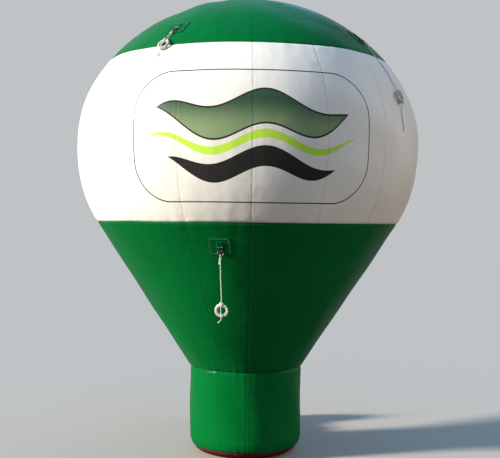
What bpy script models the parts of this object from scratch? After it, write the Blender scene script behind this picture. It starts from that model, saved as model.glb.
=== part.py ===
"""Inflatable advertising balloon of hot-air-balloon shape, standing on its cylindrical neck.

Metres, +Z up, origin on the balloon's axis at the floor. The front looks along -Y. An azimuth is
measured from the front towards +X, so the blower at the rear lies at azimuth 180 degrees.
"""

from math import asin, ceil, cos, floor, pi, radians, sin, sqrt

import bmesh
import bpy
from mathutils import Matrix, Vector

# Envelope: a superellipse dome, a fuller belly below it, a straight cone and a round neck.
BELLY_RADIUS = 1.1287
BELLY_Z = 2.0572
DOME_RISE = 0.9405
DOME_POWER = 1.893
BELLY_DROP = 0.9722
BELLY_POWER = 2.316
CONE_TOP_Z = 1.5063
NECK_TOP_Z = 0.5679
NECK_RADIUS = 0.3698
BASE_ROUND = 0.110
CROWN_EDGE_Z = 2.568
BELT_EDGE_Z = 1.521
PAN_RIM_Z = 0.045
WALL = 0.010
GAP = 0.0003

# Gores: each bulges outwards between two seams, and the bulge fades down the cone.
GORES = 16
GORE_ANGLE = 2 * pi / GORES
STEPS_PER_GORE = 4
SEAM_CREASE = 0.007
CREASE_FULL_Z = 1.10
DOME_STEPS = 6
BELT_STEPS = 3
PAN_STEPS = 3
CONE_MIDDLE_Z = 0.80
NECK_BEND_Z = 0.075
NECK_SIDES = 32
APEX_DISC_RADIUS = 0.075
APEX_DISC_THICK = 0.002
APEX_DISC_SIDES = 24

# Tie points: a sewn patch, a folded webbing tab, a ring and a rope wound into a small coil.
# Columns: name, azimuth in degrees, patch height z, and how the rope lies.
TIE_POINTS = [
    ("upper_front_left", -33.75, 2.690, "short"),
    ("upper_front_right", 56.25, 2.690, "long"),
    ("upper_rear_right", 146.25, 2.690, "long"),
    ("upper_rear_left", -123.75, 2.690, "short"),
    ("lower_front", -11.25, 1.384, "hanging"),
    ("lower_rear", 168.75, 1.384, "hanging"),
]
# Rope lies: coil centre z and tail end z, both on the tie's own gore.
ROPE_LIES = {
    "short": (2.560, 2.490),
    "long": (2.295, 2.090),
    "hanging": (1.011, 0.935),
}
PATCH_WIDTH = 0.130
PATCH_HEIGHT = 0.120
PATCH_THICK = 0.003
WEBBING_WIDTH = 0.030
WEBBING_THICK = 0.003
WEBBING_TOP = 0.030
EYE_DOWN = 0.034
EYE_RADIUS = 0.0047
EYE_HOLE_RADIUS = 0.0032
RING_BAR = 0.004
RING_INNER_HALF = 0.0165
RING_SIDE = 0.008
RING_ARC = 0.014
ROPE_RADIUS = 0.003
COIL_RADIUS = 0.032
COIL_SECTION = 0.0105
COIL_SIDES = 20
ROPE_POINT_SPACING = 0.018
STRAIGHT_END = 0.008
# A hanging coil's shift to the right, its rope's bow outwards, and its tail's drift to the left.
COIL_SHIFT = 0.010
ROPE_BOW = 0.003
TAIL_DRIFT = 0.014
TAIL_BOW = 0.002
# Shares of the way down at which a rope that lies on the fabric has a point of its own.
RUN_SHARES = (0.3, 0.6, 0.85)
TAIL_SHARES = (0.35, 0.7, 1.0)

# Zip for letting the air out, under its flap, along the rear seam of the cone.
ZIP_Z = 0.860
ZIP_HEIGHT = 0.440
ZIP_WIDTH = 0.036
ZIP_THICK = 0.003
FLAP_WIDTH = 2 * ZIP_WIDTH
FLAP_HEIGHT = 0.480
FLAP_THICK = 0.002

# Rear inflation sleeve and the strap that closes it on the blower's spigot.
SLEEVE_Z = 0.160
SLEEVE_RADIUS = 0.080
SLEEVE_WALL = 0.004
SLEEVE_START_Y = 0.340
SLEEVE_SIDES = 24
# Where the sleeve swells between the neck and the strap: y, and what is added to its radius.
SLEEVE_SWELL = [(0.385, -0.004), (0.440, 0.008), (0.500, 0.010), (0.565, 0.002)]
SLEEVE_LIP = 0.004
STRAP_WIDTH = 0.025
STRAP_THICK = 0.002
NECK_HOLE_Y = (0.20, 0.50)

# Electric blower, whose fan turns about an X axis.
FAN_Y = 0.840
FAN_Z = 0.245
FAN_RADIUS = 0.082
HOUSING_HALF = 0.085
HOUSING_WALL = 0.005
SCROLL_START = 0.105
SCROLL_GROWTH = 0.055
SCROLL_TURN = 1.5 * pi
SCROLL_STEPS = 18
SCROLL_FOOT = SCROLL_START + SCROLL_GROWTH
TONGUE_STEP = 0.002
OUTLET_Y = 0.670
OUTLET_TOP = 0.235
MOUTH_INSET = 0.020
CUT_REACH = 0.035
INLET_RADIUS = 0.070
SHAFT_HOLE_RADIUS = 0.030
SPIGOT_RADIUS = 0.070
SPIGOT_LENGTH = 0.052
FLANGE_THICK = 0.008

# Round guard on the inlet: rings of flat bar between these radii, joined by spokes.
GRILLE_RADII = [0.014, 0.030, 0.033, 0.052, 0.055, 0.076, 0.088]
GRILLE_SPOKES = 6
GRILLE_SHARES = (-0.04, 0.04, 0.35, 0.65)
GRILLE_THICK = 0.004

# Motor on the housing's +X side, with its switch box and cable gland on top.
SHAFT_RADIUS = 0.006
SHAFT_SEAT = 0.030
MOTOR_RADIUS = 0.062
MOTOR_LENGTH = 0.110
MOTOR_RIM = 0.012
MOTOR_RIM_THICK = 0.006
MOTOR_CHAMFER = 0.012
ROUND_SIDES = 28
BOX_FROM, BOX_TO = 0.030, 0.085
BOX_HALF = 0.028
BOX_TOP = 0.038
GLAND_RADIUS = 0.011
GLAND_TIP_RADIUS = 0.007
GLAND_COLLAR = 0.010
GLAND_LENGTH = 0.022
GLAND_HEIGHT = 0.018
GLAND_SIDES = 12

# Squirrel-cage impeller.
PLATE_X = 0.042
RING_X = -0.060
WHEEL_SHEET = 0.004
HUB_RADIUS = 0.018
HUB_REACH = 0.018
NOSE_X = 0.015
SHAFT_END_X = 0.110
BLADE_COUNT = 14
BLADE_INNER = 0.062
BLADE_HALF = 0.0015
BLADE_BITE = 0.002
BLADE_LEAN = radians(28)
WHEEL_RING_INNER = 0.060
WHEEL_RING_THICK = 0.005

# Bent sheet stand and tube handle.
STAND_SHEET = 0.004
STAND_FRONT = 0.015
STAND_BACK = 0.110
STAND_FOOT = 0.030
STAND_HALF = 0.095
HANDLE_HALF = 0.060
HANDLE_RISE = 0.046
HANDLE_BEND = 0.018
HANDLE_BEND_STEPS = 4
HANDLE_RADIUS = 0.008

# Turns that lay a shape made about Z along the Y or the X axis.
ALONG_Y = Matrix.Rotation(-pi / 2, 4, "X")
ALONG_X = Matrix.Rotation(pi / 2, 4, "Y")


def clear_scene():
    """Remove every object of the open file."""
    for obj in list(bpy.data.objects):
        bpy.data.objects.remove(obj, do_unlink=True)


def material(name, colour, roughness, metallic=0.0):
    """A Principled material of one colour."""
    made = bpy.data.materials.new(name)
    made.use_nodes = True
    shader = made.node_tree.nodes["Principled BSDF"]
    shader.inputs["Base Color"].default_value = (*colour, 1.0)
    shader.inputs["Roughness"].default_value = roughness
    shader.inputs["Metallic"].default_value = metallic
    return made


def place(name, mesh, finish, parent=None):
    """An object of this mesh and finish, in the scene."""
    obj = bpy.data.objects.new(name, mesh)
    mesh.materials.clear()
    mesh.materials.append(finish)
    bpy.context.scene.collection.objects.link(obj)
    obj.parent = parent
    return obj


def finish_mesh(name, bm, sharp_degrees=35.0):
    """A smooth-shaded mesh of this bmesh, with its faces turned outwards."""
    bmesh.ops.recalc_face_normals(bm, faces=bm.faces)
    mesh = bpy.data.meshes.new(name)
    bm.to_mesh(mesh)
    bm.free()
    mesh.shade_smooth()
    mesh.set_sharp_from_angle(angle=radians(sharp_degrees))
    return mesh


def combine(obj, tool_mesh, operation):
    """Cut or join a hidden tool on this object."""
    tool = bpy.data.objects.new(f"{obj.name}_{operation.lower()}_{len(obj.modifiers)}", tool_mesh)
    bpy.context.scene.collection.objects.link(tool)
    tool.hide_render = True
    tool.display_type = "WIRE"
    tool.parent = obj.parent
    boolean = obj.modifiers.new(operation.title(), "BOOLEAN")
    boolean.operation = operation
    boolean.solver = "EXACT"
    boolean.object = tool


def even_steps(low, high, steps):
    """Numbers from one end to the other in even steps."""
    return [low + (high - low) * k / steps for k in range(steps + 1)]


# Envelope profile


def envelope_radius(z):
    """The envelope's radius at a gore's centre at this height."""
    if z >= BELLY_Z:
        rise = min((z - BELLY_Z) / DOME_RISE, 1.0)
        return BELLY_RADIUS * (1 - rise**DOME_POWER) ** (1 / DOME_POWER)
    if z >= CONE_TOP_Z:
        drop = (BELLY_Z - z) / BELLY_DROP
        return BELLY_RADIUS * (1 - drop**BELLY_POWER) ** (1 / BELLY_POWER)
    if z >= NECK_TOP_Z:
        top = envelope_radius(CONE_TOP_Z)
        return NECK_RADIUS + (top - NECK_RADIUS) * (z - NECK_TOP_Z) / (CONE_TOP_Z - NECK_TOP_Z)
    if z >= BASE_ROUND:
        return NECK_RADIUS
    return NECK_RADIUS - BASE_ROUND + sqrt(BASE_ROUND**2 - (BASE_ROUND - z) ** 2)


def envelope_normal(z):
    """The outward normal at this height, as (radial, up)."""
    if z >= BELLY_Z:
        out = (envelope_radius(z) / BELLY_RADIUS) ** (DOME_POWER - 1) / BELLY_RADIUS
        up = ((z - BELLY_Z) / DOME_RISE) ** (DOME_POWER - 1) / DOME_RISE
    elif z >= CONE_TOP_Z:
        out = (envelope_radius(z) / BELLY_RADIUS) ** (BELLY_POWER - 1) / BELLY_RADIUS
        up = -(((BELLY_Z - z) / BELLY_DROP) ** (BELLY_POWER - 1)) / BELLY_DROP
    elif z > NECK_TOP_Z:
        out = CONE_TOP_Z - NECK_TOP_Z
        up = NECK_RADIUS - envelope_radius(CONE_TOP_Z)
    elif z >= BASE_ROUND:
        out, up = 1.0, 0.0
    else:
        out = envelope_radius(z) - NECK_RADIUS + BASE_ROUND
        up = z - BASE_ROUND
    size = sqrt(out * out + up * up)
    return out / size, up / size


def apex_height(radius):
    """The dome's height at this radius."""
    share = 1 - (radius / BELLY_RADIUS) ** DOME_POWER
    return BELLY_Z + DOME_RISE * share ** (1 / DOME_POWER)


def dome_heights(low, steps):
    """Heights from this one to just below the apex, even along the dome's arc."""
    start = asin(((low - BELLY_Z) / DOME_RISE) ** (DOME_POWER / 2))
    angles = even_steps(start, pi / 2, steps)[:-1]
    return [BELLY_Z + DOME_RISE * sin(a) ** (2 / DOME_POWER) for a in angles]


def lobe(azimuth, z):
    """The share of the gore-centre radius that the envelope has at this azimuth."""
    fade = min(max((z - NECK_TOP_Z) / (CREASE_FULL_Z - NECK_TOP_Z), 0.0), 1.0)
    turn = azimuth / GORE_ANGLE
    across = 2 * (turn - floor(turn)) - 1
    return 1 - SEAM_CREASE * fade * across * across


def radial(azimuth):
    """The level direction away from the axis."""
    return Vector((sin(azimuth), -cos(azimuth), 0.0))


def sideways(azimuth):
    """The level direction along the envelope, towards a larger azimuth."""
    return Vector((cos(azimuth), sin(azimuth), 0.0))


def surface_point(azimuth, z, lift=0.0):
    """The envelope's outer surface, or a point this far outside it."""
    out, up = envelope_normal(z)
    reach = (envelope_radius(z) + lift * out) * lobe(azimuth, z)
    return radial(azimuth) * reach + Vector((0, 0, z + lift * up))


# Shapes


def turned_mesh(name, line, sides, lobed=False, sharp_degrees=35.0):
    """A closed line of (radius, z) turned about Z, with the gores' bulges if it is lobed.

    A radius of zero makes a pole instead of a ring of points.
    """
    bm = bmesh.new()
    rings = []
    for radius, z in line:
        if radius < 1e-6:
            rings.append([bm.verts.new((0, 0, z))])
            continue
        ring = []
        for k in range(sides):
            azimuth = 2 * pi * k / sides
            share = lobe(azimuth, z) if lobed else 1.0
            ring.append(bm.verts.new(radial(azimuth) * (radius * share) + Vector((0, 0, z))))
        rings.append(ring)
    for a, b in zip(rings, rings[1:] + rings[:1]):
        if len(a) == 1 and len(b) == 1:
            continue
        for k in range(sides):
            corners = [a[k % len(a)], a[(k + 1) % len(a)], b[(k + 1) % len(b)], b[k % len(b)]]
            bm.faces.new(list(dict.fromkeys(corners)))
    return finish_mesh(name, bm, sharp_degrees)


def rod_mesh(name, radius, start, end, sides, turn=Matrix(), at=(0, 0, 0)):
    """A plain round rod about Z between two heights, then turned and moved."""
    mesh = turned_mesh(name, [(0, start), (radius, start), (radius, end), (0, end)], sides)
    mesh.transform(Matrix.Translation(at) @ turn)
    return mesh


def wall_lines(heights, level_start=True, level_end=True):
    """The outer and inner lines of the envelope's wall at these heights; a level end is cut flat."""
    outer, inner = [], []
    for number, z in enumerate(heights):
        radius = envelope_radius(z)
        out, up = envelope_normal(z)
        outer.append((radius, z))
        level = (number == 0 and level_start) or (number == len(heights) - 1 and level_end)
        if level:
            inner.append((radius - WALL / out, z))
        else:
            inner.append((radius - WALL * out, z - WALL * up))
    return outer, inner


def surface_slab(name, azimuth, z, width, height, lift, thick, across=4, along=3):
    """A thin pad that follows the envelope, centred on this azimuth and height."""
    out, _ = envelope_normal(z)
    bm = bmesh.new()
    layers = []
    for offset in (lift, lift + thick):
        layer = []
        for row_z in even_steps(z - out * height / 2, z + out * height / 2, along):
            half = width / 2 / envelope_radius(row_z)
            turns = even_steps(azimuth - half, azimuth + half, across)
            layer.append([bm.verts.new(surface_point(turn, row_z, offset)) for turn in turns])
        layers.append(layer)
    low, high = layers
    for j in range(along):
        for i in range(across):
            for layer in layers:
                bm.faces.new((layer[j][i], layer[j][i + 1], layer[j + 1][i + 1], layer[j + 1][i]))
    edge = [(0, i) for i in range(across)] + [(j, across) for j in range(along)]
    edge += [(along, i) for i in range(across, 0, -1)] + [(j, 0) for j in range(along, 0, -1)]
    for (j0, i0), (j1, i1) in zip(edge, edge[1:] + edge[:1]):
        bm.faces.new((low[j0][i0], low[j1][i1], high[j1][i1], high[j0][i0]))
    return finish_mesh(name, bm)


def prism(name, outline, half_width):
    """A closed outline of (y, z) drawn out to this far on both sides of x = 0."""
    bm = bmesh.new()
    left = [bm.verts.new((-half_width, y, z)) for y, z in outline]
    right = [bm.verts.new((half_width, y, z)) for y, z in outline]
    bm.faces.new(left)
    bm.faces.new(right)
    for a, b, c, d in zip(left, left[1:] + left[:1], right[1:] + right[:1], right):
        bm.faces.new((a, b, c, d))
    return finish_mesh(name, bm)


def block(name, low, high):
    """A box between two corners."""
    outline = [(low[1], low[2]), (high[1], low[2]), (high[1], high[2]), (low[1], high[2])]
    mesh = prism(name, outline, (high[0] - low[0]) / 2)
    mesh.transform(Matrix.Translation(((low[0] + high[0]) / 2, 0, 0)))
    return mesh


def frame_of(x_axis, y_axis, z_axis, origin):
    """The matrix that puts local axes along these directions."""
    turn = Matrix((x_axis, y_axis, z_axis)).transposed().to_4x4()
    return Matrix.Translation(origin) @ turn


def smooth_line(points, spacing):
    """Points at an even spacing on a Catmull-Rom curve through these points.

    The first and the last stretch stay straight, so that the ends meet their neighbours squarely.
    """
    steps = 24
    fine = []
    for k in range(1, len(points) - 2):
        a, b, c, d = points[k - 1 : k + 3]
        for step in range(steps):
            t = step / steps
            bend = (c - a) * t + (2 * a - 5 * b + 4 * c - d) * t**2 + (3 * b - a - 3 * c + d) * t**3
            fine.append(b + 0.5 * bend)
    fine.append(points[-2])
    travelled = [0.0]
    for a, b in zip(fine, fine[1:]):
        travelled.append(travelled[-1] + (b - a).length)
    count = max(ceil(travelled[-1] / spacing), 2)
    even, k = [points[0]], 0
    for goal in even_steps(0.0, travelled[-1], count):
        while k < len(fine) - 2 and travelled[k + 1] < goal:
            k += 1
        share = (goal - travelled[k]) / (travelled[k + 1] - travelled[k])
        even.append(fine[k].lerp(fine[k + 1], share))
    even.append(points[-1])
    return even


def round_tube(name, points, radius, finish):
    """A capped tube along these points."""
    curve = bpy.data.curves.new(name, "CURVE")
    curve.dimensions = "3D"
    curve.bevel_depth = radius
    curve.bevel_resolution = 2
    curve.use_fill_caps = True
    line = curve.splines.new("POLY")
    line.points.add(len(points) - 1)
    for point, spot in zip(line.points, points):
        point.co = (*spot, 1.0)
    curve.materials.append(finish)
    obj = bpy.data.objects.new(name, curve)
    bpy.context.scene.collection.objects.link(obj)
    return obj


# Envelope pieces


def build_envelope(finishes):
    """The crown, belt, cone, neck and base pan, one above the other, and the disc on the apex."""
    sides = GORES * STEPS_PER_GORE
    apex_z = BELLY_Z + DOME_RISE

    outer, inner = wall_lines(dome_heights(CROWN_EDGE_Z + GAP, DOME_STEPS), level_end=False)
    outer.append((0.0, apex_z))
    inner.append((0.0, apex_z - WALL))
    crown = turned_mesh("crown_panel", outer + inner[::-1], sides, lobed=True, sharp_degrees=50)
    place("crown_panel", crown, finishes["green"])

    heights = even_steps(BELT_EDGE_Z + GAP, BELLY_Z, BELT_STEPS)
    heights += even_steps(BELLY_Z, CROWN_EDGE_Z, BELT_STEPS)[1:]
    outer, inner = wall_lines(heights)
    belt = turned_mesh("belt_panel", outer + inner[::-1], sides, lobed=True, sharp_degrees=50)
    place("belt_panel", belt, finishes["white"])

    heights = [NECK_TOP_Z + GAP, CONE_MIDDLE_Z, CREASE_FULL_Z, CONE_TOP_Z, BELT_EDGE_Z]
    outer, inner = wall_lines(heights)
    cone = turned_mesh("cone_panel", outer + inner[::-1], sides, lobed=True, sharp_degrees=50)
    place("cone_panel", cone, finishes["green"])

    outer, inner = wall_lines([PAN_RIM_Z + GAP, NECK_BEND_Z, BASE_ROUND, NECK_TOP_Z])
    wall = turned_mesh("neck_panel", outer + inner[::-1], NECK_SIDES, sharp_degrees=50)
    neck = place("neck_panel", wall, finishes["green"])
    at = (0, 0, SLEEVE_Z)
    hole = rod_mesh("neck_hole", SLEEVE_RADIUS + GAP, *NECK_HOLE_Y, SLEEVE_SIDES, ALONG_Y, at)
    combine(neck, hole, "DIFFERENCE")

    outer, inner = wall_lines(even_steps(0.0, PAN_RIM_Z, PAN_STEPS), level_start=False)
    outer.insert(0, (0.0, 0.0))
    inner[0] = (outer[1][0], WALL)
    inner.insert(0, (0.0, WALL))
    pan = turned_mesh("base_pan", outer + inner[::-1], NECK_SIDES, sharp_degrees=50)
    place("base_pan", pan, finishes["red"])

    radii = [APEX_DISC_RADIUS, APEX_DISC_RADIUS / 2, 0.0]
    over = [(r, apex_height(r) + GAP + APEX_DISC_THICK) for r in radii]
    under = [(r, apex_height(r) + GAP) for r in radii]
    disc = turned_mesh("apex_disc", over + under[::-1], APEX_DISC_SIDES)
    place("apex_disc", disc, finishes["green"])


def build_zip(finishes):
    """The deflation zip and the flap over it, whose columns of points coincide."""
    strip = surface_slab("deflation_zip", pi, ZIP_Z, ZIP_WIDTH, ZIP_HEIGHT, GAP, ZIP_THICK, 2, 4)
    place("deflation_zip", strip, finishes["webbing"])
    lift = ZIP_THICK + 2 * GAP
    flap = surface_slab("zip_flap", pi, ZIP_Z, FLAP_WIDTH, FLAP_HEIGHT, lift, FLAP_THICK, 4, 4)
    place("zip_flap", flap, finishes["green"])


# Tie points


def ring_mesh():
    """A D-shaped ring of flat bar: its straight bar is centred on the origin, its bow below."""
    arc_steps = 8
    loops = []
    for half, top, bow in (
        (RING_INNER_HALF, -RING_BAR / 2, RING_ARC),
        (RING_INNER_HALF + RING_BAR, RING_BAR / 2, RING_ARC + RING_BAR),
    ):
        outline = [(-half, top), (half, top)]
        for turn in even_steps(0, -pi, arc_steps):
            outline.append((half * cos(turn), -RING_SIDE + bow * sin(turn)))
        loops.append(outline)
    bm = bmesh.new()
    faces = []
    for z in (-RING_BAR / 2, RING_BAR / 2):
        faces.append([[bm.verts.new((x, y, z)) for x, y in outline] for outline in loops])
    (inner_back, outer_back), (inner_front, outer_front) = faces
    count = len(inner_back)
    for k in range(count):
        n = (k + 1) % count
        bm.faces.new((inner_back[k], inner_back[n], outer_back[n], outer_back[k]))
        bm.faces.new((inner_front[k], inner_front[n], outer_front[n], outer_front[k]))
        bm.faces.new((inner_back[k], inner_back[n], inner_front[n], inner_front[k]))
        bm.faces.new((outer_back[k], outer_back[n], outer_front[n], outer_front[k]))
    return finish_mesh("tie_ring", bm)


def webbing_meshes():
    """A folded tab and the hole through its eye: a tail that is sewn down, with the eye below it."""
    eye_steps = 9
    join = asin((EYE_RADIUS - WEBBING_THICK) / EYE_RADIUS)
    outline = [(WEBBING_TOP, 0.0), (WEBBING_TOP, WEBBING_THICK)]
    for turn in even_steps(-join, 1.5 * pi, eye_steps):
        outline.append((-EYE_DOWN + EYE_RADIUS * cos(turn), EYE_RADIUS + EYE_RADIUS * sin(turn)))
    body = prism("tie_webbing", outline, WEBBING_WIDTH / 2)
    at = (0, -EYE_DOWN, EYE_RADIUS)
    reach = WEBBING_WIDTH
    hole = rod_mesh("tie_webbing_hole", EYE_HOLE_RADIUS, -reach, reach, 12, ALONG_X, at)
    return body, hole


def coil_mesh():
    """The outer shape of a wound coil: a turned ring about Z."""
    turns = even_steps(0, 2 * pi, 6)[:-1]
    line = [(COIL_RADIUS + COIL_SECTION * cos(t), COIL_SECTION * sin(t)) for t in turns]
    return turned_mesh("rope_coil", line, COIL_SIDES)


def build_tie_points(finishes):
    """Each tie point's patch, webbing, ring and rope."""
    ring = ring_mesh()
    webbing, webbing_hole = webbing_meshes()
    coil = coil_mesh()
    for name, azimuth_degrees, z, lie in TIE_POINTS:
        azimuth = radians(azimuth_degrees)
        patch_name = f"tie_patch_{name}"
        patch = surface_slab(patch_name, azimuth, z, PATCH_WIDTH, PATCH_HEIGHT, GAP, PATCH_THICK)
        place(patch_name, patch, finishes["green"])

        out, up = envelope_normal(z)
        normal = radial(azimuth) * out + Vector((0, 0, up))
        rise = Vector((0, 0, out)) - radial(azimuth) * up
        seat = surface_point(azimuth, z, GAP + PATCH_THICK + GAP)
        holder = bpy.data.objects.new(f"tie_frame_{name}", None)
        bpy.context.scene.collection.objects.link(holder)
        holder.matrix_world = frame_of(sideways(azimuth), rise, normal, seat)
        tab = place(f"tie_webbing_{name}", webbing, finishes["webbing"], holder)
        combine(tab, webbing_hole, "DIFFERENCE")

        bar = seat - rise * EYE_DOWN + normal * EYE_RADIUS
        if lie == "hanging":
            hang, face = Vector((0, 0, -1)), radial(azimuth)
        else:
            hang, face = -rise, normal
        hoop = place(f"tie_ring_{name}", ring, finishes["steel"])
        hoop.matrix_world = frame_of(sideways(azimuth), -hang, face, bar)
        knot = bar + hang * (RING_SIDE + RING_ARC + RING_BAR + GAP)
        build_rope(name, azimuth, knot, hang, lie, coil, finishes["rope"])


def build_rope(name, azimuth, knot, hang, lie, coil, finish):
    """The rope's run from its ring, the coil and the loose tail below it."""
    coil_z, tail_z = ROPE_LIES[lie]
    reach = COIL_RADIUS + COIL_SECTION + 2 * GAP
    beside = sideways(azimuth)
    if lie == "hanging":
        axis, rise = radial(azimuth), Vector((0, 0, 1))
        centre = Vector((knot.x, knot.y, coil_z)) + beside * COIL_SHIFT
    else:
        out, up = envelope_normal(coil_z)
        axis = radial(azimuth) * out + Vector((0, 0, up))
        rise = Vector((0, 0, out)) - radial(azimuth) * up
        centre = surface_point(azimuth, coil_z, COIL_SECTION + 2 * GAP)
    top = centre + rise * reach
    foot = centre - rise * reach
    run = [knot, knot + hang * STRAIGHT_END]
    tail = [foot, foot - rise * STRAIGHT_END]
    if lie == "hanging":
        run.append(knot.lerp(top, 0.5) + axis * ROPE_BOW)
        tip = Vector((foot.x, foot.y, tail_z)) - beside * TAIL_DRIFT
        tail += [tail[1].lerp(tip, 0.5) - beside * TAIL_BOW, tip]
    else:
        lift = ROPE_RADIUS + 2 * GAP
        for share in RUN_SHARES:
            run.append(surface_point(azimuth, knot.z + (top.z - knot.z) * share, lift))
        for share in TAIL_SHARES:
            tail.append(surface_point(azimuth, foot.z + (tail_z - foot.z) * share, lift))
    run += [top + rise * STRAIGHT_END, top]
    round_tube(f"tie_rope_{name}", smooth_line(run, ROPE_POINT_SPACING), ROPE_RADIUS, finish)
    wound = place(f"rope_coil_{name}", coil, finish)
    wound.matrix_world = frame_of(beside, axis.cross(beside), axis, centre)
    round_tube(f"rope_tail_{name}", smooth_line(tail, ROPE_POINT_SPACING), ROPE_RADIUS, finish)


# Inflation sleeve and blower


def build_sleeve(finishes):
    """The fabric sleeve between the neck and the spigot, and the strap that closes it."""
    flange_y = OUTLET_Y - FLANGE_THICK - 2 * GAP
    tip_y = flange_y - SPIGOT_LENGTH
    tight = SPIGOT_RADIUS + GAP
    inner = [(SLEEVE_RADIUS - SLEEVE_WALL, SLEEVE_START_Y)]
    inner += [(SLEEVE_RADIUS + swell, y) for y, swell in SLEEVE_SWELL]
    inner += [(tight, tip_y - SLEEVE_LIP), (tight, flange_y)]
    outer = [(radius + SLEEVE_WALL, y) for radius, y in inner]
    sleeve = turned_mesh("inflation_sleeve", outer + inner[::-1], SLEEVE_SIDES)
    sleeve.transform(Matrix.Translation((0, 0, SLEEVE_Z)) @ ALONG_Y)
    place("inflation_sleeve", sleeve, finishes["green"])

    near = tight + SLEEVE_WALL + GAP
    far = near + STRAP_THICK
    middle = (tip_y + flange_y) / 2
    start, end = middle - STRAP_WIDTH / 2, middle + STRAP_WIDTH / 2
    line = [(near, start), (far, start), (far, end), (near, end)]
    strap = turned_mesh("sleeve_strap", line, SLEEVE_SIDES)
    strap.transform(Matrix.Translation((0, 0, SLEEVE_Z)) @ ALONG_Y)
    place("sleeve_strap", strap, finishes["webbing"])


def scroll_radius(turn):
    """The housing's radius this far round from the tongue, over the top."""
    return SCROLL_START + SCROLL_GROWTH * turn / SCROLL_TURN


def scroll_outline(inset, mouth_inset=0.0):
    """The housing's side outline in (y, z): the scroll, then the outlet duct along the floor side."""
    points = []
    for turn in even_steps(0, SCROLL_TURN, SCROLL_STEPS):
        radius = scroll_radius(turn) - inset
        points.append((FAN_Y - radius * cos(turn), FAN_Z + radius * sin(turn)))
    end_y = OUTLET_Y - mouth_inset
    points.append((end_y, FAN_Z - SCROLL_FOOT + inset))
    points.append((end_y, OUTLET_TOP - inset))
    points.append((points[0][0] - TONGUE_STEP, OUTLET_TOP - inset))
    return points


def build_housing(finishes):
    """The hollow scroll housing, open at the outlet, the inlet and the motor's shaft."""
    shell = prism("blower_housing", scroll_outline(0.0), HOUSING_HALF)
    housing = place("blower_housing", shell, finishes["housing"])
    hollow = scroll_outline(HOUSING_WALL, MOUTH_INSET)
    combine(housing, prism("housing_cavity", hollow, HOUSING_HALF - HOUSING_WALL), "DIFFERENCE")
    at = (0, FAN_Y, FAN_Z)
    near, far = HOUSING_HALF - CUT_REACH, HOUSING_HALF + CUT_REACH
    turn = ALONG_X.inverted()
    inlet = rod_mesh("housing_inlet", INLET_RADIUS, near, far, 24, turn, at)
    combine(housing, inlet, "DIFFERENCE")
    shaft_hole = rod_mesh("housing_shaft_hole", SHAFT_HOLE_RADIUS, near, far, 16, ALONG_X, at)
    combine(housing, shaft_hole, "DIFFERENCE")


def build_outlet(finishes):
    """A flange plate on the outlet, and the round spigot in front of it for the sleeve."""
    plate_y = OUTLET_Y - GAP
    front_y = plate_y - FLANGE_THICK
    low = (-HOUSING_HALF, front_y, FAN_Z - SCROLL_FOOT)
    plate = block("outlet_flange", low, (HOUSING_HALF, plate_y, OUTLET_TOP))
    flange = place("outlet_flange", plate, finishes["housing"])
    bore = SPIGOT_RADIUS - HOUSING_WALL
    at = (0, 0, SLEEVE_Z)
    cut = (front_y - CUT_REACH, plate_y + CUT_REACH)
    combine(flange, rod_mesh("flange_bore", bore, *cut, SLEEVE_SIDES, ALONG_Y, at), "DIFFERENCE")

    start, end = front_y - GAP, front_y - SPIGOT_LENGTH
    line = [(SPIGOT_RADIUS, end), (SPIGOT_RADIUS, start), (bore, start), (bore, end)]
    spigot = turned_mesh("outlet_spigot", line, SLEEVE_SIDES)
    spigot.transform(Matrix.Translation(at) @ ALONG_Y)
    place("outlet_spigot", spigot, finishes["housing"])


def build_grille(finishes):
    """A round guard of flat rings and spokes over the fan's inlet."""
    turns = []
    for spoke in range(GRILLE_SPOKES):
        turns += [2 * pi * (spoke + share) / GRILLE_SPOKES for share in GRILLE_SHARES]
    count, per_spoke = len(turns), len(GRILLE_SHARES)
    bm = bmesh.new()
    layers = []
    for x in (-HOUSING_HALF - GAP, -HOUSING_HALF - GAP - GRILLE_THICK):
        centre = bm.verts.new((x, FAN_Y, FAN_Z))
        rings = []
        for radius in GRILLE_RADII:
            spots = [(x, FAN_Y + radius * cos(turn), FAN_Z + radius * sin(turn)) for turn in turns]
            rings.append([bm.verts.new(spot) for spot in spots])
        layers.append((centre, rings))
    for centre, rings in layers:
        for k in range(count):
            n = (k + 1) % count
            bm.faces.new((centre, rings[0][k], rings[0][n]))
            for row in range(len(rings) - 1):
                if row % 2 == 1 or k % per_spoke == 0:
                    bm.faces.new((rings[row][k], rings[row][n], rings[row + 1][n], rings[row + 1][k]))
    (_, near), (_, far) = layers
    facing = {a: b for near_ring, far_ring in zip(near, far) for a, b in zip(near_ring, far_ring)}
    border = [e for e in bm.edges if len(e.link_faces) == 1 and e.verts[0] in facing]
    for a, b in [edge.verts for edge in border]:
        bm.faces.new((a, b, facing[b], facing[a]))
    place("inlet_grille", finish_mesh("inlet_grille", bm), finishes["grille"])


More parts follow.
